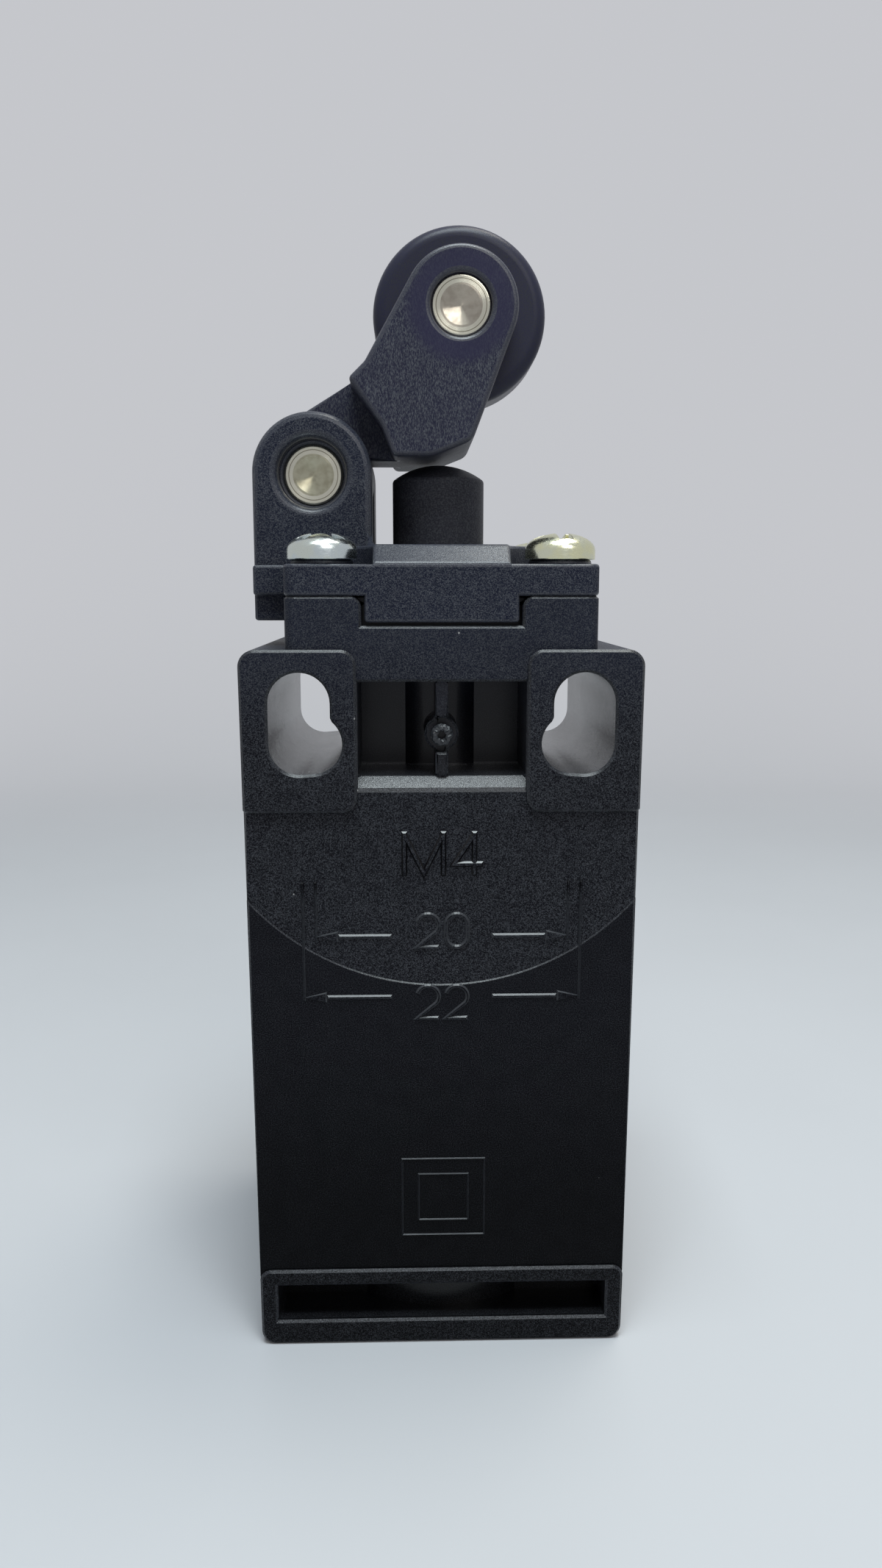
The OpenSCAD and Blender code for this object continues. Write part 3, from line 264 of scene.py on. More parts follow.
def recessed(finish):
    """1 inside the pocket and the foot's recess, behind the back face."""
    place = finish.axes()
    aside = finish.math("ABSOLUTE", place["X"])
    pocket = finish.math("MULTIPLY", finish.math("LESS_THAN", aside, POCKET_HALF_WIDTH),
                         finish.math("GREATER_THAN", place["Z"], POCKET_LOW_Z))
    foot = finish.math("MULTIPLY", finish.math("LESS_THAN", aside, FOOT_HALF_WIDTH),
                       finish.math("LESS_THAN", place["Z"], FOOT_HIGH_Z))
    deep = finish.between(place["Y"], FACE_Y + 0.2 * MM, FACE_Y + 0.9 * MM)
    shallow = finish.math("LESS_THAN", place["Y"], MOUNT_Y + RECESS_DEPTH)
    return finish.fold("MULTIPLY", finish.math("MAXIMUM", pocket, foot), deep, shallow)


def smooth_housing(finish):
    """Share of the grain that is missing: most below the arc and in the recesses, half at the foot."""
    height = finish.axes()["Z"]
    slots = finish.math("MULTIPLY", in_slots(finish), 0.3)
    hollows = finish.math("MULTIPLY", recessed(finish), 0.8)
    foot = finish.between(height, 14 * MM, 6 * MM, 0.0, 0.45)
    panel = finish.math("MULTIPLY", below_arc(finish), finish.between(height, 30 * MM, 10 * MM, 0.58, 0.8))
    return finish.fold("MAXIMUM", panel, foot, hollows, slots)


def housing_painted_shading(finish):
    """Painted light and shade: a lighter bluish sky light painted on the neck, and painted shade that turns
    black towards the foot.
    """
    height = finish.axes()["Z"]
    neck = finish.between(height, 50 * MM, 60 * MM)
    upper = finish.mix(neck, (0.003, 0.003, 0.0055), (0.013, 0.0155, 0.029))
    return finish.mix(finish.between(height, 36 * MM, 8 * MM), upper, (0.0003, 0.0004, 0.0008))


def housing_coat(finish):
    """A glossy skin on the slope below the pocket and in the slots, and some of it in the recesses."""
    place = finish.axes()
    across = finish.math("LESS_THAN", finish.math("ABSOLUTE", place["X"]), POCKET_SLOPE_HALF_WIDTH)
    strip = finish.math("COMPARE", place["Z"], POCKET_SLOPE_Z, POCKET_SLOPE_HALF_HEIGHT)
    behind = finish.math("GREATER_THAN", place["Y"], FACE_Y + 0.01 * MM)
    slope = finish.fold("MULTIPLY", across, strip, behind)
    return finish.fold("MAXIMUM", slope, finish.math("MULTIPLY", recessed(finish), 0.45), in_slots(finish))


def edge_coat(finish):
    """A gloss worn onto the edges, less towards the foot."""
    return finish.between(finish.axes()["Z"], 5 * MM, 40 * MM, 0.2, 0.45)


def head_coat(finish):
    """A glossy skin on the plateau's slopes, more to the right, and in the bore of the pivot pin."""
    place = finish.axes()
    above = finish.math("GREATER_THAN", place["Z"], PLATEAU_Z - PLATEAU_DEPTH)
    below = finish.math("LESS_THAN", place["Z"], PLATEAU_Z + 0.05 * MM)
    slopes = finish.fold("MULTIPLY", above, below, finish.between(place["X"], -7 * MM, 7 * MM, 0.12, 0.8))
    return finish.math("MAXIMUM", slopes, finish.math("MULTIPLY", around_pivot(finish), 0.8))


def land_colour(finish):
    """The lever's colour, bluer on the smooth land around the roller's pin."""
    return finish.mix(around_roller_pin(finish), (0.018, 0.0185, 0.042), (0.035, 0.033, 0.07))


def above_numbers(finish):
    """1 on the screw size, the mark that stands above the two numbers."""
    return finish.between(finish.axes()["Z"], 38.2 * MM, 39.6 * MM)


def mark_painted_light_shade(finish):
    """The marks' slopes: painted paler as a highlight, apart from the screw size, whose slopes get painted
    shade darker than the face.
    """
    return finish.mix(above_numbers(finish), (0.032, 0.035, 0.041), (0.002, 0.002, 0.003))


def around_pivot(finish):
    """1 on the bore that the pivot pin sits in."""
    return finish.between(finish.from_axis(PIVOT_CENTRE), 2.95 * MM, 2.8 * MM)


def around_roller_pin(finish):
    """0.8 on the smooth round land that surrounds the roller's pin, less towards its edge."""
    return finish.math("MULTIPLY", finish.between(finish.from_axis(ROLLER_CENTRE), 5.0 * MM, 3.6 * MM), 0.8)


SCRATCH_DEPTH = 0.003 * MM


def metal(name, colour, tint, roughness, scratch, share=None):
    """Plated or drawn metal: two tints in clouds, or by a share of the second, and scratches along X."""
    finish = Finish(name, Metallic=1.0)
    tinted = share(finish) if share else finish.between(finish.noise(1.5 * MM, 4), 0.35, 0.65)
    lines = finish.noise(scratch, 3, (0.15, 1, 1))
    finish.bump(lines, SCRATCH_DEPTH)
    finish.plug(finish.shader, {
        "Base Color": finish.mix(tinted, colour, tint),
        "Roughness": finish.between(lines, 0.3, 0.7, roughness - 0.06, roughness + 0.1),
    })
    return finish.material


def passivated(finish):
    """Share of the yellow in the zinc, which grows to the right."""
    along = finish.between(finish.axes()["X"], -6 * MM, 6 * MM, 0.0, 0.8)
    clouds = finish.between(finish.noise(1.2 * MM, 4), 0.35, 0.65, -0.15, 0.25)
    return finish.math("ADD", along, clouds)


# Painted on the pins' faces: a paler collar as a highlight, and a dark ring as the shade of a groove
COLLAR_HIGHLIGHT = (0.6, 0.58, 0.48)
COLLAR_RANGE = (1.62 * MM, 1.7 * MM)
GROOVE_SHADE = (0.12, 0.1, 0.06)
GROOVE_R = 1.98 * MM
GROOVE_HALF_WIDTH = 0.035 * MM
RING_PITCH = 0.11 * MM
RING_DEPTH = 0.0012 * MM


def turned(name, colour, tint, centre):
    """Turned steel: fine rings around the pin's axis spread the highlights. The collar is painted paler as a
    highlight, and a dark ring on it is the painted shade of a groove.
    """
    finish = Finish(name, Metallic=1.0, Anisotropic=0.9, Anisotropic_Rotation=0.25)
    reach = finish.from_axis(centre)
    rings = finish.math("SINE", finish.math("MULTIPLY", reach, 2 * math.pi / RING_PITCH))
    finish.bump(finish.math("MULTIPLY", rings, finish.noise(0.8 * MM, 2)), RING_DEPTH)
    clouds = finish.noise(0.6 * MM, 4)
    stained = finish.mix(finish.between(clouds, 0.35, 0.7), colour, tint)
    collared = finish.mix(finish.between(reach, *COLLAR_RANGE), stained, COLLAR_HIGHLIGHT)
    groove = finish.math("COMPARE", reach, GROOVE_R, GROOVE_HALF_WIDTH)
    finish.plug(finish.shader, {
        "Base Color": finish.mix(finish.math("MULTIPLY", groove, 0.7), collared, GROOVE_SHADE),
        "Roughness": finish.between(clouds, 0.3, 0.7, 0.18, 0.25),
        "Tangent": finish.add("ShaderNodeTangent", direction_type="RADIAL", axis="Y").outputs["Tangent"],
    })
    return finish.material


def dress(material, *names, rubbed_and_highlit=None):
    """Gives nodes their finish, and the strips along their rounded edges another one if it is given."""
    for name in names:
        slots = NODES[name].data.materials
        slots.clear()
        slots.append(material)
        slots.append(rubbed_and_highlit or material)


housing_plastic = moulded("housing_plastic", housing_painted_shading, roughness=0.4, grain=0.09 * MM,
                          relief=0.024 * MM, smooth=smooth_housing, specular=0.05, coat=housing_coat)
# Edge strips: painted paler than the faces beside them as a highlight along the edges, with worn gloss; the
# housing's edges also get many bright specks as painted sparkle.
housing_edge = moulded("housing_edge", (0.007, 0.008, 0.011), roughness=0.3, grain=0.1 * MM,
                       relief=0.016 * MM, smooth=in_slots, coat=edge_coat, dusty=0.2)
# The marks' slopes get painted highlight and painted shade in their colour
mark_plastic = moulded("mark_plastic", mark_painted_light_shade, roughness=0.3, grain=0.09 * MM, relief=0.008 * MM,
                       smooth=above_numbers, glint=0.04, specular=0.4)
gate_plastic = moulded("gate_plastic", (0.028, 0.031, 0.036), roughness=0.3, grain=0.09 * MM,
                       relief=0.008 * MM, glint=0.04, specular=0.4)
head_plastic = moulded("head_plastic", (0.011, 0.0135, 0.029), roughness=0.4, grain=0.09 * MM,
                       relief=0.024 * MM, smooth=around_pivot, glint=0.09, specular=0.05, coat=head_coat)
head_edge = moulded("head_edge", (0.02, 0.0235, 0.04), roughness=0.32, grain=0.09 * MM,
                    relief=0.014 * MM, glint=0.08, coat=edge_coat)
lever_plastic = moulded("lever_plastic", land_colour, roughness=0.42, grain=0.075 * MM, relief=0.022 * MM,
                        smooth=around_roller_pin, glint=0.1, specular=0.12, streak=(1, 1, 0.35))
lever_edge = moulded("lever_edge", (0.028, 0.029, 0.05), roughness=0.34, grain=0.09 * MM,
                     relief=0.01 * MM, glint=0.07, specular=0.4)
roller_plastic = moulded("roller_plastic", (0.026, 0.026, 0.056), roughness=0.34, grain=0.08 * MM,
                         relief=0.005 * MM, glint=0.03, specular=0.18)
plunger_plastic = moulded("plunger_plastic", (0.026, 0.026, 0.036), roughness=0.46, grain=0.14 * MM,
                          relief=0.015 * MM, specular=0.13)
seal_rubber = moulded("seal_rubber", (0.006, 0.006, 0.006), roughness=0.7, grain=0.25 * MM,
                      relief=0.03 * MM)
inner_moulded = partial(moulded, grain=0.3 * MM, glint=None, specular=0.4)
block_plastic = inner_moulded("block_plastic", (0.62, 0.6, 0.54), roughness=0.45, relief=0.008 * MM)
block_cover_plastic = inner_moulded("block_cover_plastic", (0.4, 0.05, 0.035), roughness=0.42,
                                    relief=0.008 * MM)
carrier_plastic = inner_moulded("carrier_plastic", (0.72, 0.72, 0.69), roughness=0.4, relief=0.006 * MM)
screw_zinc = metal("screw_zinc", (0.62, 0.68, 0.68), (0.76, 0.75, 0.5), roughness=0.2, scratch=0.08 * MM,
                   share=passivated)
spring_steel = metal("spring_steel", (0.5, 0.5, 0.52), (0.6, 0.59, 0.57), roughness=0.3,
                     scratch=0.06 * MM)
contact_brass = metal("contact_brass", (0.68, 0.5, 0.23), (0.75, 0.58, 0.3), roughness=0.26,
                      scratch=0.08 * MM)
pivot_steel = turned("pivot_steel", (0.43, 0.415, 0.31), (0.34, 0.32, 0.23), PIVOT_CENTRE)
roller_pin_steel = turned("roller_pin_steel", (0.43, 0.395, 0.33), (0.34, 0.305, 0.25), ROLLER_CENTRE)

dress(housing_plastic, "housing", "front_cover", rubbed_and_highlit=housing_edge)
dress(head_plastic, "head", rubbed_and_highlit=head_edge)
dress(lever_plastic, "roller_lever", rubbed_and_highlit=lever_edge)
dress(roller_plastic, "roller")
dress(plunger_plastic, "plunger")
dress(seal_rubber, "cover_gasket", "head_gasket", "plunger_seal")
dress(block_plastic, "contact_block")
dress(block_cover_plastic, "block_cover")
dress(carrier_plastic, "contact_carrier")
dress(screw_zinc, "cover_screws", "head_screws", "block_screws", "terminal_screws", "clamp_plates")
dress(spring_steel, "return_spring", "contact_springs", "carrier_spring")
dress(contact_brass, "nc_bridge", "no_bridge", "nc_terminal_left", "nc_terminal_right",
      "no_terminal_left", "no_terminal_right")
dress(pivot_steel, "pivot_pin")
dress(roller_pin_steel, "roller_pin")


# Rounded edges of the CAD nodes

SHARP = math.radians(25)
WELD_REACH = 0.001 * MM
HEAD_SHARE = 0.44


class EdgeNodes(Graph):
    """Geometry nodes that write attributes to a mesh."""

    def __init__(self, name):
        super().__init__(bpy.data.node_groups.new(name, "GeometryNodeTree"))
        for way in ("INPUT", "OUTPUT"):
            self.tree.interface.new_socket("Geometry", in_out=way, socket_type="NodeSocketGeometry")
        self.mesh = self.add("NodeGroupInput").outputs[0]
        self.place = self.add("GeometryNodeInputPosition").outputs[0]

    def drop(self, name):
        inputs = {"Geometry": self.mesh, "Name": name}
        self.mesh = self.add("GeometryNodeRemoveAttribute", inputs).outputs[0]

    def store(self, name, value, data_type="FLOAT", domain="EDGE"):
        inputs = {"Geometry": self.mesh, "Name": name, "Value": value}
        kind = "GeometryNodeStoreNamedAttribute"
        self.mesh = self.add(kind, inputs, data_type=data_type, domain=domain).outputs[0]

    def stored(self, name, data_type):
        node = self.add("GeometryNodeInputNamedAttribute", {"Name": name}, data_type=data_type)
        return node.outputs["Attribute"]

    def finished(self):
        self.add("NodeGroupOutput", {0: self.mesh})
        return self.tree


def weigh_edges(name, share=None):
    """Gives the outward edges a bevel weight, by a function if share is one, and marks inward ones sharp."""
    nodes = EdgeNodes(name)
    nodes.drop("custom_normal")
    angle = nodes.add("GeometryNodeInputMeshEdgeAngle").outputs["Signed Angle"]
    outward = nodes.math("GREATER_THAN", angle, SHARP)
    weight = nodes.math("MULTIPLY", outward, share(nodes)) if share else outward
    nodes.store("bevel_weight_edge", weight)
    nodes.store("sharp_edge", nodes.math("LESS_THAN", angle, -SHARP), "BOOLEAN")
    return nodes.finished()


def less_on_arc(nodes):
    """Half the width along the back's shallow arc."""
    on_arc = nodes.math("COMPARE", nodes.from_axis(ARC_CENTRE), ARC_R, 0.06 * MM)
    return nodes.math("MULTIPLY_ADD", on_arc, -0.5, 1.0)


def more_on_ears(nodes):
    """The whole width around the ears, apart from their bore, and less on the rest of the head."""
    upper = nodes.math("GREATER_THAN", nodes.axes()["Z"], PLATEAU_Z + 0.6 * MM)
    outer = nodes.math("GREATER_THAN", nodes.from_axis(PIVOT_CENTRE), 4 * MM)
    return nodes.math("MULTIPLY_ADD", nodes.math("MULTIPLY", upper, outer), 1 - HEAD_SHARE, HEAD_SHARE)


def part_strips():
    """Keeps the rounded strips, of the second material slot, from bending the shading beside them."""
    nodes = EdgeNodes("part_strips")
    nodes.store("strip", nodes.add("GeometryNodeInputMaterialIndex").outputs[0], "FLOAT", "FACE")
    border = nodes.math("COMPARE", nodes.stored("strip", "FLOAT"), 0.5, 0.3)
    nodes.store("sharp_edge", nodes.math("MAXIMUM", nodes.stored("sharp_edge", "BOOLEAN"), border), "BOOLEAN")
    return nodes.finished()


STRIPS = part_strips()


def soften(name, width, weights, segments=2):
    """Joins a node's split faces and rounds its outward edges."""
    add = NODES[name].modifiers.new
    add("join", "WELD").merge_threshold = WELD_REACH
    add("weigh", "NODES").node_group = weights
    round_off = add("round_off", "BEVEL")
    round_off.width = width
    round_off.segments = segments
    round_off.limit_method = "WEIGHT"
    round_off.use_clamp_overlap = False
    round_off.loop_slide = False
    round_off.material = 1
    add("part", "NODES").node_group = STRIPS


ALL_EDGES = weigh_edges("outward_edges")
soften("housing", 0.2 * MM, weigh_edges("housing_edges", less_on_arc), 1)
soften("front_cover", 0.35 * MM, ALL_EDGES, 3)
soften("head", 0.55 * MM, weigh_edges("head_edges", more_on_ears), 3)
soften("roller_lever", 0.4 * MM, ALL_EDGES, 4)
soften("head_screws", 0.06 * MM, ALL_EDGES)
soften("cover_screws", 0.05 * MM, ALL_EDGES)
soften("pivot_pin", 0.05 * MM, ALL_EDGES)
soften("roller_pin", 0.05 * MM, ALL_EDGES)
soften("plunger", 0.15 * MM, ALL_EDGES)


# Moulded marks and the torn gate. Points of strokes are X and Z.

SHARPEST_MITRE = 0.45
SLOPE_WIDTH = 0.13 * MM
SLOPE_HEIGHT = 0.14 * MM
NARROWEST_CREST = 0.02 * MM


def ribbon(points, widths, closed=False):
    """Left and right edge of a stroke along points, mitred at its corners."""
    count = len(points)
    left, right = [], []
    for i, point in enumerate(points):
        before = points[i - 1] if closed or i > 0 else point
        after = points[(i + 1) % count] if closed or i < count - 1 else point
        incoming = (Vector(point) - Vector(before)).normalized() if before != point else None
        outgoing = (Vector(after) - Vector(point)).normalized() if after != point else None
        incoming, outgoing = incoming or outgoing, outgoing or incoming
        normal_in = Vector((-incoming.y, incoming.x))
        normal_out = Vector((-outgoing.y, outgoing.x))
        mitre = (normal_in + normal_out).normalized()
        reach = widths[i] / 2 / max(SHARPEST_MITRE, mitre.dot(normal_in))
        left.append(Vector(point) + mitre * reach)
        right.append(Vector(point) - mitre * reach)
    return left, right


def raised_stroke(mesh, points, width, root_y, top_y, closed=False):
    """Adds a closed ridge along points, from root_y inside the wall out to top_y. Width may be one per point.

    The flat top takes the second material slot.
    """
    widths = list(width) if isinstance(width, (list, tuple)) else [width] * len(points)
    slope = min(SLOPE_WIDTH, 0.4 * min(w for w in widths if w > 0.1 * MM))
    inner = [Vector(p) for p in points]
    if not closed:
        inner[0] += (inner[1] - inner[0]).normalized() * slope
        inner[-1] += (inner[-2] - inner[-1]).normalized() * slope
    crest = [max(NARROWEST_CREST, w - 2 * slope) for w in widths]
    levels = ((root_y, points, widths), (top_y + SLOPE_HEIGHT, points, widths), (top_y, inner, crest))
    rings = []
    for y, path, path_widths in levels:
        sides = ribbon([tuple(p) for p in path], path_widths, closed)
        rings.append([[mesh.verts.new((p.x, y, p.y)) for p in side] for side in sides])
    count = len(points)
    bottom, top = rings[0], rings[-1]
    for i in range(count if closed else count - 1):
        j = (i + 1) % count
        mesh.faces.new((top[0][i], top[0][j], top[1][j], top[1][i])).material_index = 1
        mesh.faces.new((bottom[0][i], bottom[1][i], bottom[1][j], bottom[0][j]))
        for low, high in zip(rings, rings[1:]):
            mesh.faces.new((low[0][i], low[0][j], high[0][j], high[0][i]))
            mesh.faces.new((low[1][j], low[1][i], high[1][i], high[1][j]))
    if not closed:
        for low, high in zip(rings, rings[1:]):
            mesh.faces.new((low[1][0], low[0][0], high[0][0], high[1][0]))
            mesh.faces.new((low[0][-1], low[1][-1], high[1][-1], high[0][-1]))


def piece(name, mesh, materials):
    """Makes an object of a finished bmesh that rides on the switch's body."""
    bmesh.ops.recalc_face_normals(mesh, faces=mesh.faces)
    data = bpy.data.meshes.new(name)
    mesh.to_mesh(data)
    mesh.free()
    for material in materials:
        data.materials.append(material)
    made = bpy.data.objects.new(name, data)
    bpy.context.scene.collection.objects.link(made)
    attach(made, "switch_body")


def in_mm(points):
    return [(x * MM, z * MM) for x, z in points]


# Sizes of the marks, in millimetres
STROKE = 0.36
LETTER_STROKE = 0.46
EXTENSION_STROKE = 0.22
SQUARE_STROKE = 0.16
LETTER_LOW, LETTER_HIGH = 40.3, 43.9
M_LEFT, M_RIGHT = -3.2, 0.34
FOUR_STEM_X, FOUR_LEFT, FOUR_RIGHT, FOUR_BAR_Z = 2.55, 0.95, 3.25, 41.25
NUMBER_WIDTH, NUMBER_HEIGHT = 1.75, 2.7
FIRST_X, SECOND_X = -2.0, 0.3
UPPER_NUMBER_Z, LOWER_NUMBER_Z = 34.3, 28.4
UPPER_ROW_Z, LOWER_ROW_Z = 35.4, 30.4
UPPER_TIP_X, LOWER_TIP_X = 10.0, 10.95
ARROW_START, ARROW_LENGTH, ARROW_HEIGHT, ARROW_TIP = 4.0, 1.75, 0.9, 0.06
UPPER_PITCH, LOWER_PITCH = 20, 22
EXTENSION_TOP, UPPER_EXTENSION_LOW, LOWER_EXTENSION_LOW = 39.87, 34.9, 30.1
SQUARE_SIZES = (6.75, 4.05)
SQUARE_X, SQUARE_Z = 0.1, 13.05

# Where the strokes start inside the wall and end outside it; a stroke that crosses another one is lifted
ROOT_Y = FACE_Y + 0.1 * MM
UPPER_Y = FACE_Y - 0.16 * MM
LOWER_Y = PANEL_Y - 0.13 * MM
LIFT = 0.004 * MM


def arc(x, z, radius, start, end, steps=14):
    turns = [math.radians(start + (end - start) * i / steps) for i in range(steps + 1)]
    return [(x + radius * math.cos(t), z + radius * math.sin(t)) for t in turns]


def digit_two(x, z):
    """Middle line of a 2 whose lower left corner is at x, z."""
    half = NUMBER_WIDTH / 2
    bowl = arc(x + half, z + NUMBER_HEIGHT - half, half, 165, -38)
    return bowl + [(x, z), (x + NUMBER_WIDTH, z)]


def digit_zero(x, z):
    """Closed middle line of a straight-sided 0 whose lower left corner is at x, z."""
    half = NUMBER_WIDTH / 2
    top = arc(x + half, z + NUMBER_HEIGHT - half, half, 0, 180)
    return top + arc(x + half, z + half, half, 180, 360)


def moulded_marks():
    """Generic marks on the back: screw size, two hole pitches with their lines, two nested squares."""
    mesh = bmesh.new()

    def upper(points, width=STROKE, closed=False):
        raised_stroke(mesh, in_mm(points), width * MM, ROOT_Y, UPPER_Y, closed)

    def lower(points, width=STROKE, closed=False):
        raised_stroke(mesh, in_mm(points), width * MM, ROOT_Y, LOWER_Y, closed)

    def letter(points, lift=0.0):
        raised_stroke(mesh, in_mm(points), LETTER_STROKE * MM, ROOT_Y, UPPER_Y - lift)

    def arrows(z, tip_x, top_y):
        """Two arrows that point outwards from the number between them."""
        for side in (-1, 1):
            start, neck, tip = (side * ARROW_START, z), (side * (tip_x - ARROW_LENGTH), z), (side * tip_x, z)
            raised_stroke(mesh, in_mm([start, neck]), STROKE * MM, ROOT_Y, top_y)
            raised_stroke(mesh, in_mm([neck, tip]), [ARROW_HEIGHT * MM, ARROW_TIP * MM], ROOT_Y, top_y)

    half = LETTER_STROKE / 2
    left, right = M_LEFT + half, M_RIGHT - half
    shoulder = LETTER_HIGH - half
    letter([(left, LETTER_LOW), (left, LETTER_HIGH)])
    letter([(right, LETTER_LOW), (right, LETTER_HIGH)])
    letter([(left, shoulder), ((left + right) / 2, LETTER_LOW + half), (right, shoulder)], LIFT)
    letter([(FOUR_STEM_X, LETTER_LOW), (FOUR_STEM_X, LETTER_HIGH)])
    letter([(FOUR_STEM_X, shoulder), (FOUR_LEFT, FOUR_BAR_Z), (FOUR_RIGHT, FOUR_BAR_Z)], LIFT)
    upper_z, lower_z = UPPER_NUMBER_Z + STROKE / 2, LOWER_NUMBER_Z + STROKE / 2
    upper(digit_two(FIRST_X, upper_z))
    upper(digit_zero(SECOND_X, upper_z), closed=True)
    arrows(UPPER_ROW_Z, UPPER_TIP_X, UPPER_Y)
    lower(digit_two(FIRST_X, lower_z))
    lower(digit_two(SECOND_X, lower_z))
    arrows(LOWER_ROW_Z, LOWER_TIP_X, LOWER_Y)
    for side in (-1, 1):
        x = side * LOWER_PITCH / 2
        lower([(x, EXTENSION_TOP), (x, LOWER_EXTENSION_LOW)], EXTENSION_STROKE)
        x = side * UPPER_PITCH / 2
        upper([(x, EXTENSION_TOP), (x, UPPER_EXTENSION_LOW)], EXTENSION_STROKE)
    for size in SQUARE_SIZES:
        signs = ((-1, -1), (1, -1), (1, 1), (-1, 1))
        corners = [(SQUARE_X + x * size / 2, SQUARE_Z + z * size / 2) for x, z in signs]
        lower(corners, SQUARE_STROKE, True)
    piece("moulded_marks", mesh, [mark_plastic, housing_plastic])


# Radius and depth of the torn gate's rings, in millimetres. Those that stand out are ragged in depth too.
GATE_RINGS = ((0.32, 0.05), (0.34, -0.12), (0.5, -0.2), (0.72, -0.16), (0.85, 0.0), (0.84, 0.1))
GATE_STEPS = 30
GATE_SEED = 7
RAGGED_BELOW = 0.04


def torn_gate():
    """Ragged ring of plastic where the moulding's gate broke off in the pocket."""
    mesh = bmesh.new()
    chance = random.Random(GATE_SEED)
    rings = []
    for radius, depth in GATE_RINGS:
        ring = []
        for i in range(GATE_STEPS):
            turn = 2 * math.pi * i / GATE_STEPS
            r = (radius + chance.uniform(-0.06, 0.05)) * MM
            y = (depth + chance.uniform(-0.08, 0.06)) * MM if depth < RAGGED_BELOW else depth * MM
            ring.append(mesh.verts.new(GATE + Vector((r * math.cos(turn), y, r * math.sin(turn)))))
        rings.append(ring)
    for inner, outer in zip(rings, rings[1:] + rings[:1]):
        for i in range(GATE_STEPS):
            j = (i + 1) % GATE_STEPS
            mesh.faces.new((inner[i], inner[j], outer[j], outer[i]))
    piece("torn_gate", mesh, [gate_plastic])


moulded_marks()
torn_gate()


# Copies of two springs


def pressed_spring(name):
    """Stands for a CAD spring with a copy of its mesh, and hides the CAD spring."""
    made = bpy.data.objects.new("pressed_" + name, NODES[name].data.copy())
    bpy.context.scene.collection.objects.link(made)
    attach(made, "switch_body")
    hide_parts(name)
    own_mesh(made)


pressed_spring("return_spring")
pressed_spring("carrier_spring")


# Stage, lights and camera

PALE = (0.56, 0.57, 0.6)
PALE_SHADE = tuple(0.94 * c for c in PALE)
SEEN_BY = ("Is Camera Ray", "Is Glossy Ray", "Is Transmission Ray")
STAGE_HALF_WIDTH = 1.5
STAGE_NEAR_Y, STAGE_FAR_Y = -1.2, 0.25
STAGE_BEND_R, STAGE_BEND_STEPS = 0.12, 16
STAGE_HEIGHT = 1.0
FADE_RANGE = (0.14, 0.42)
WORLD_COLOUR = (0.9, 0.95, 1, 1)
WORLD_STRENGTH = 0.15


def seen_rays(graph):
    """1 for the rays of the camera, of gloss and of clear things, which are shown the backdrop's colour."""
    ray = graph.add("ShaderNodeLightPath").outputs
    return reduce(partial(graph.math, "MAXIMUM"), [ray[kind] for kind in SEEN_BY])


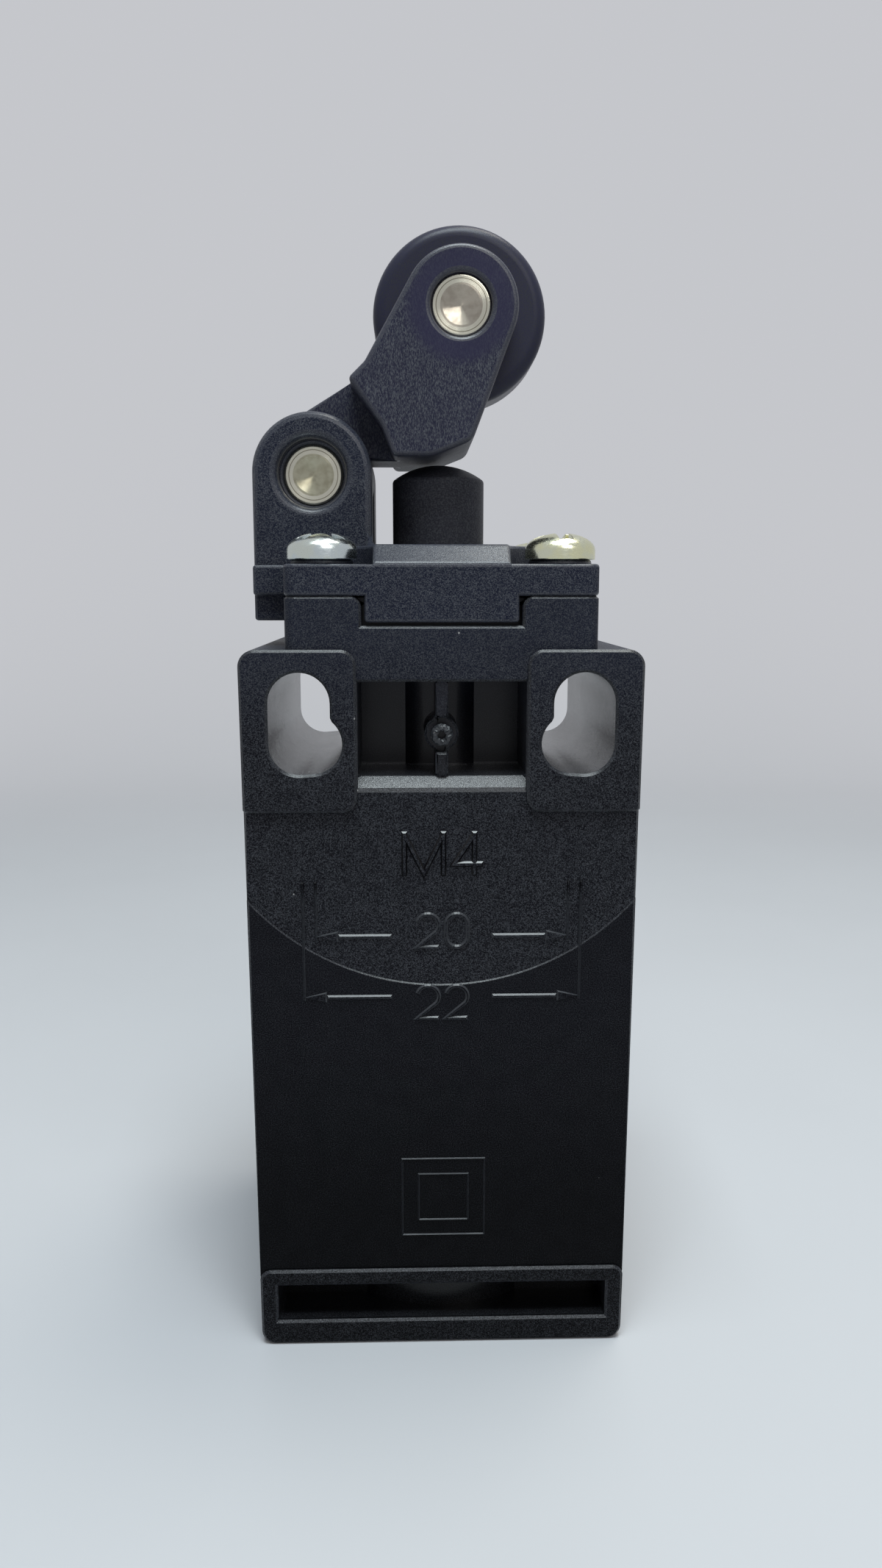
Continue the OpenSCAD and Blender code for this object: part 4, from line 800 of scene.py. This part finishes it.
def sweep():
    """Pale floor that rises into a backdrop. Away from the switch, the rays that are seen get its colour."""
    profile = [(STAGE_NEAR_Y, 0), (STAGE_FAR_Y, 0)]
    for i in range(1, STAGE_BEND_STEPS + 1):
        t = math.radians(90 * i / STAGE_BEND_STEPS)
        profile.append((STAGE_FAR_Y + STAGE_BEND_R * math.sin(t), STAGE_BEND_R * (1 - math.cos(t))))
    profile.append((STAGE_FAR_Y + STAGE_BEND_R, STAGE_HEIGHT))
    mesh = bmesh.new()
    left = [mesh.verts.new((-STAGE_HALF_WIDTH, y, z)) for y, z in profile]
    right = [mesh.verts.new((STAGE_HALF_WIDTH, y, z)) for y, z in profile]
    for i in range(len(profile) - 1):
        mesh.faces.new((left[i], right[i], right[i + 1], left[i + 1])).smooth = True
    data = bpy.data.meshes.new("sweep")
    mesh.to_mesh(data)
    mesh.free()
    finish = Finish("stage_paper", Roughness=0.55)
    finish.plug(finish.shader, {"Base Color": finish.mix(finish.noise(40 * MM, 3), PALE, PALE_SHADE)})
    away = finish.vector("LENGTH", finish.place)["Value"]
    share = finish.math("MULTIPLY", seen_rays(finish), finish.between(away, *FADE_RANGE))
    glow = finish.add("ShaderNodeEmission", {"Color": (*PALE, 1), "Strength": 1.0})
    blend = finish.add("ShaderNodeMixShader", {0: share, 1: finish.shader.outputs[0], 2: glow.outputs[0]})
    finish.plug(finish.tree.nodes["Material Output"], {"Surface": blend.outputs[0]})
    data.materials.append(finish.material)
    made = bpy.data.objects.new("sweep", data)
    bpy.context.scene.collection.objects.link(made)


def studio_world():
    """Dim plain light from all round. The rays that are seen get the backdrop's colour."""
    world = bpy.data.worlds.new("studio")
    bpy.context.scene.world = world
    world.use_nodes = True
    graph = Graph(world.node_tree)
    plain = graph.tree.nodes["Background"]
    graph.plug(plain, {"Color": WORLD_COLOUR, "Strength": WORLD_STRENGTH})
    shown = graph.add("ShaderNodeBackground", {"Color": (*PALE, 1)})
    blend = graph.add("ShaderNodeMixShader", {0: seen_rays(graph), 1: plain.outputs[0], 2: shown.outputs[0]})
    graph.plug(graph.tree.nodes["World Output"], {"Surface": blend.outputs[0]})


MIDDLE = Vector((0, 0, 0.045))


def softbox(name, place, size, radiance, colour):
    """Square area lamp of an even radiance that faces the middle of the switch."""
    lamp = bpy.data.lights.new(name, "AREA")
    lamp.shape = "SQUARE"
    lamp.size = size
    lamp.color = colour
    lamp.energy = radiance * math.pi * size * size
    made = bpy.data.objects.new(name, lamp)
    made.location = place
    made.rotation_euler = (MIDDLE - Vector(place)).to_track_quat("-Z", "Y").to_euler()
    made.visible_camera = False
    bpy.context.scene.collection.objects.link(made)


sweep()
studio_world()
softbox("overhead", (0, -0.115, 0.42), size=0.18, radiance=15.0, colour=(0.87, 0.97, 1))
softbox("front_right", (0.16, -0.42, 0.36), size=0.26, radiance=3.0, colour=(1, 0.98, 0.95))
softbox("back_right", (0.1, 0.05, 0.42), size=0.14, radiance=8.0, colour=(1, 0.97, 0.88))

camera = bpy.data.objects.new("camera", bpy.data.cameras.new("camera"))
camera.data.sensor_width = SENSOR
camera.data.lens = FOCAL_PX * SENSOR / IMAGE_HEIGHT_PX
camera.data.clip_start = CAMERA_NEAR
camera.location = CAMERA_PLACE
camera.rotation_euler = (CAMERA_PITCH, 0, CAMERA_YAW)
bpy.context.scene.collection.objects.link(camera)
bpy.context.scene.camera = camera
bpy.context.scene.view_settings.view_transform = "Standard"
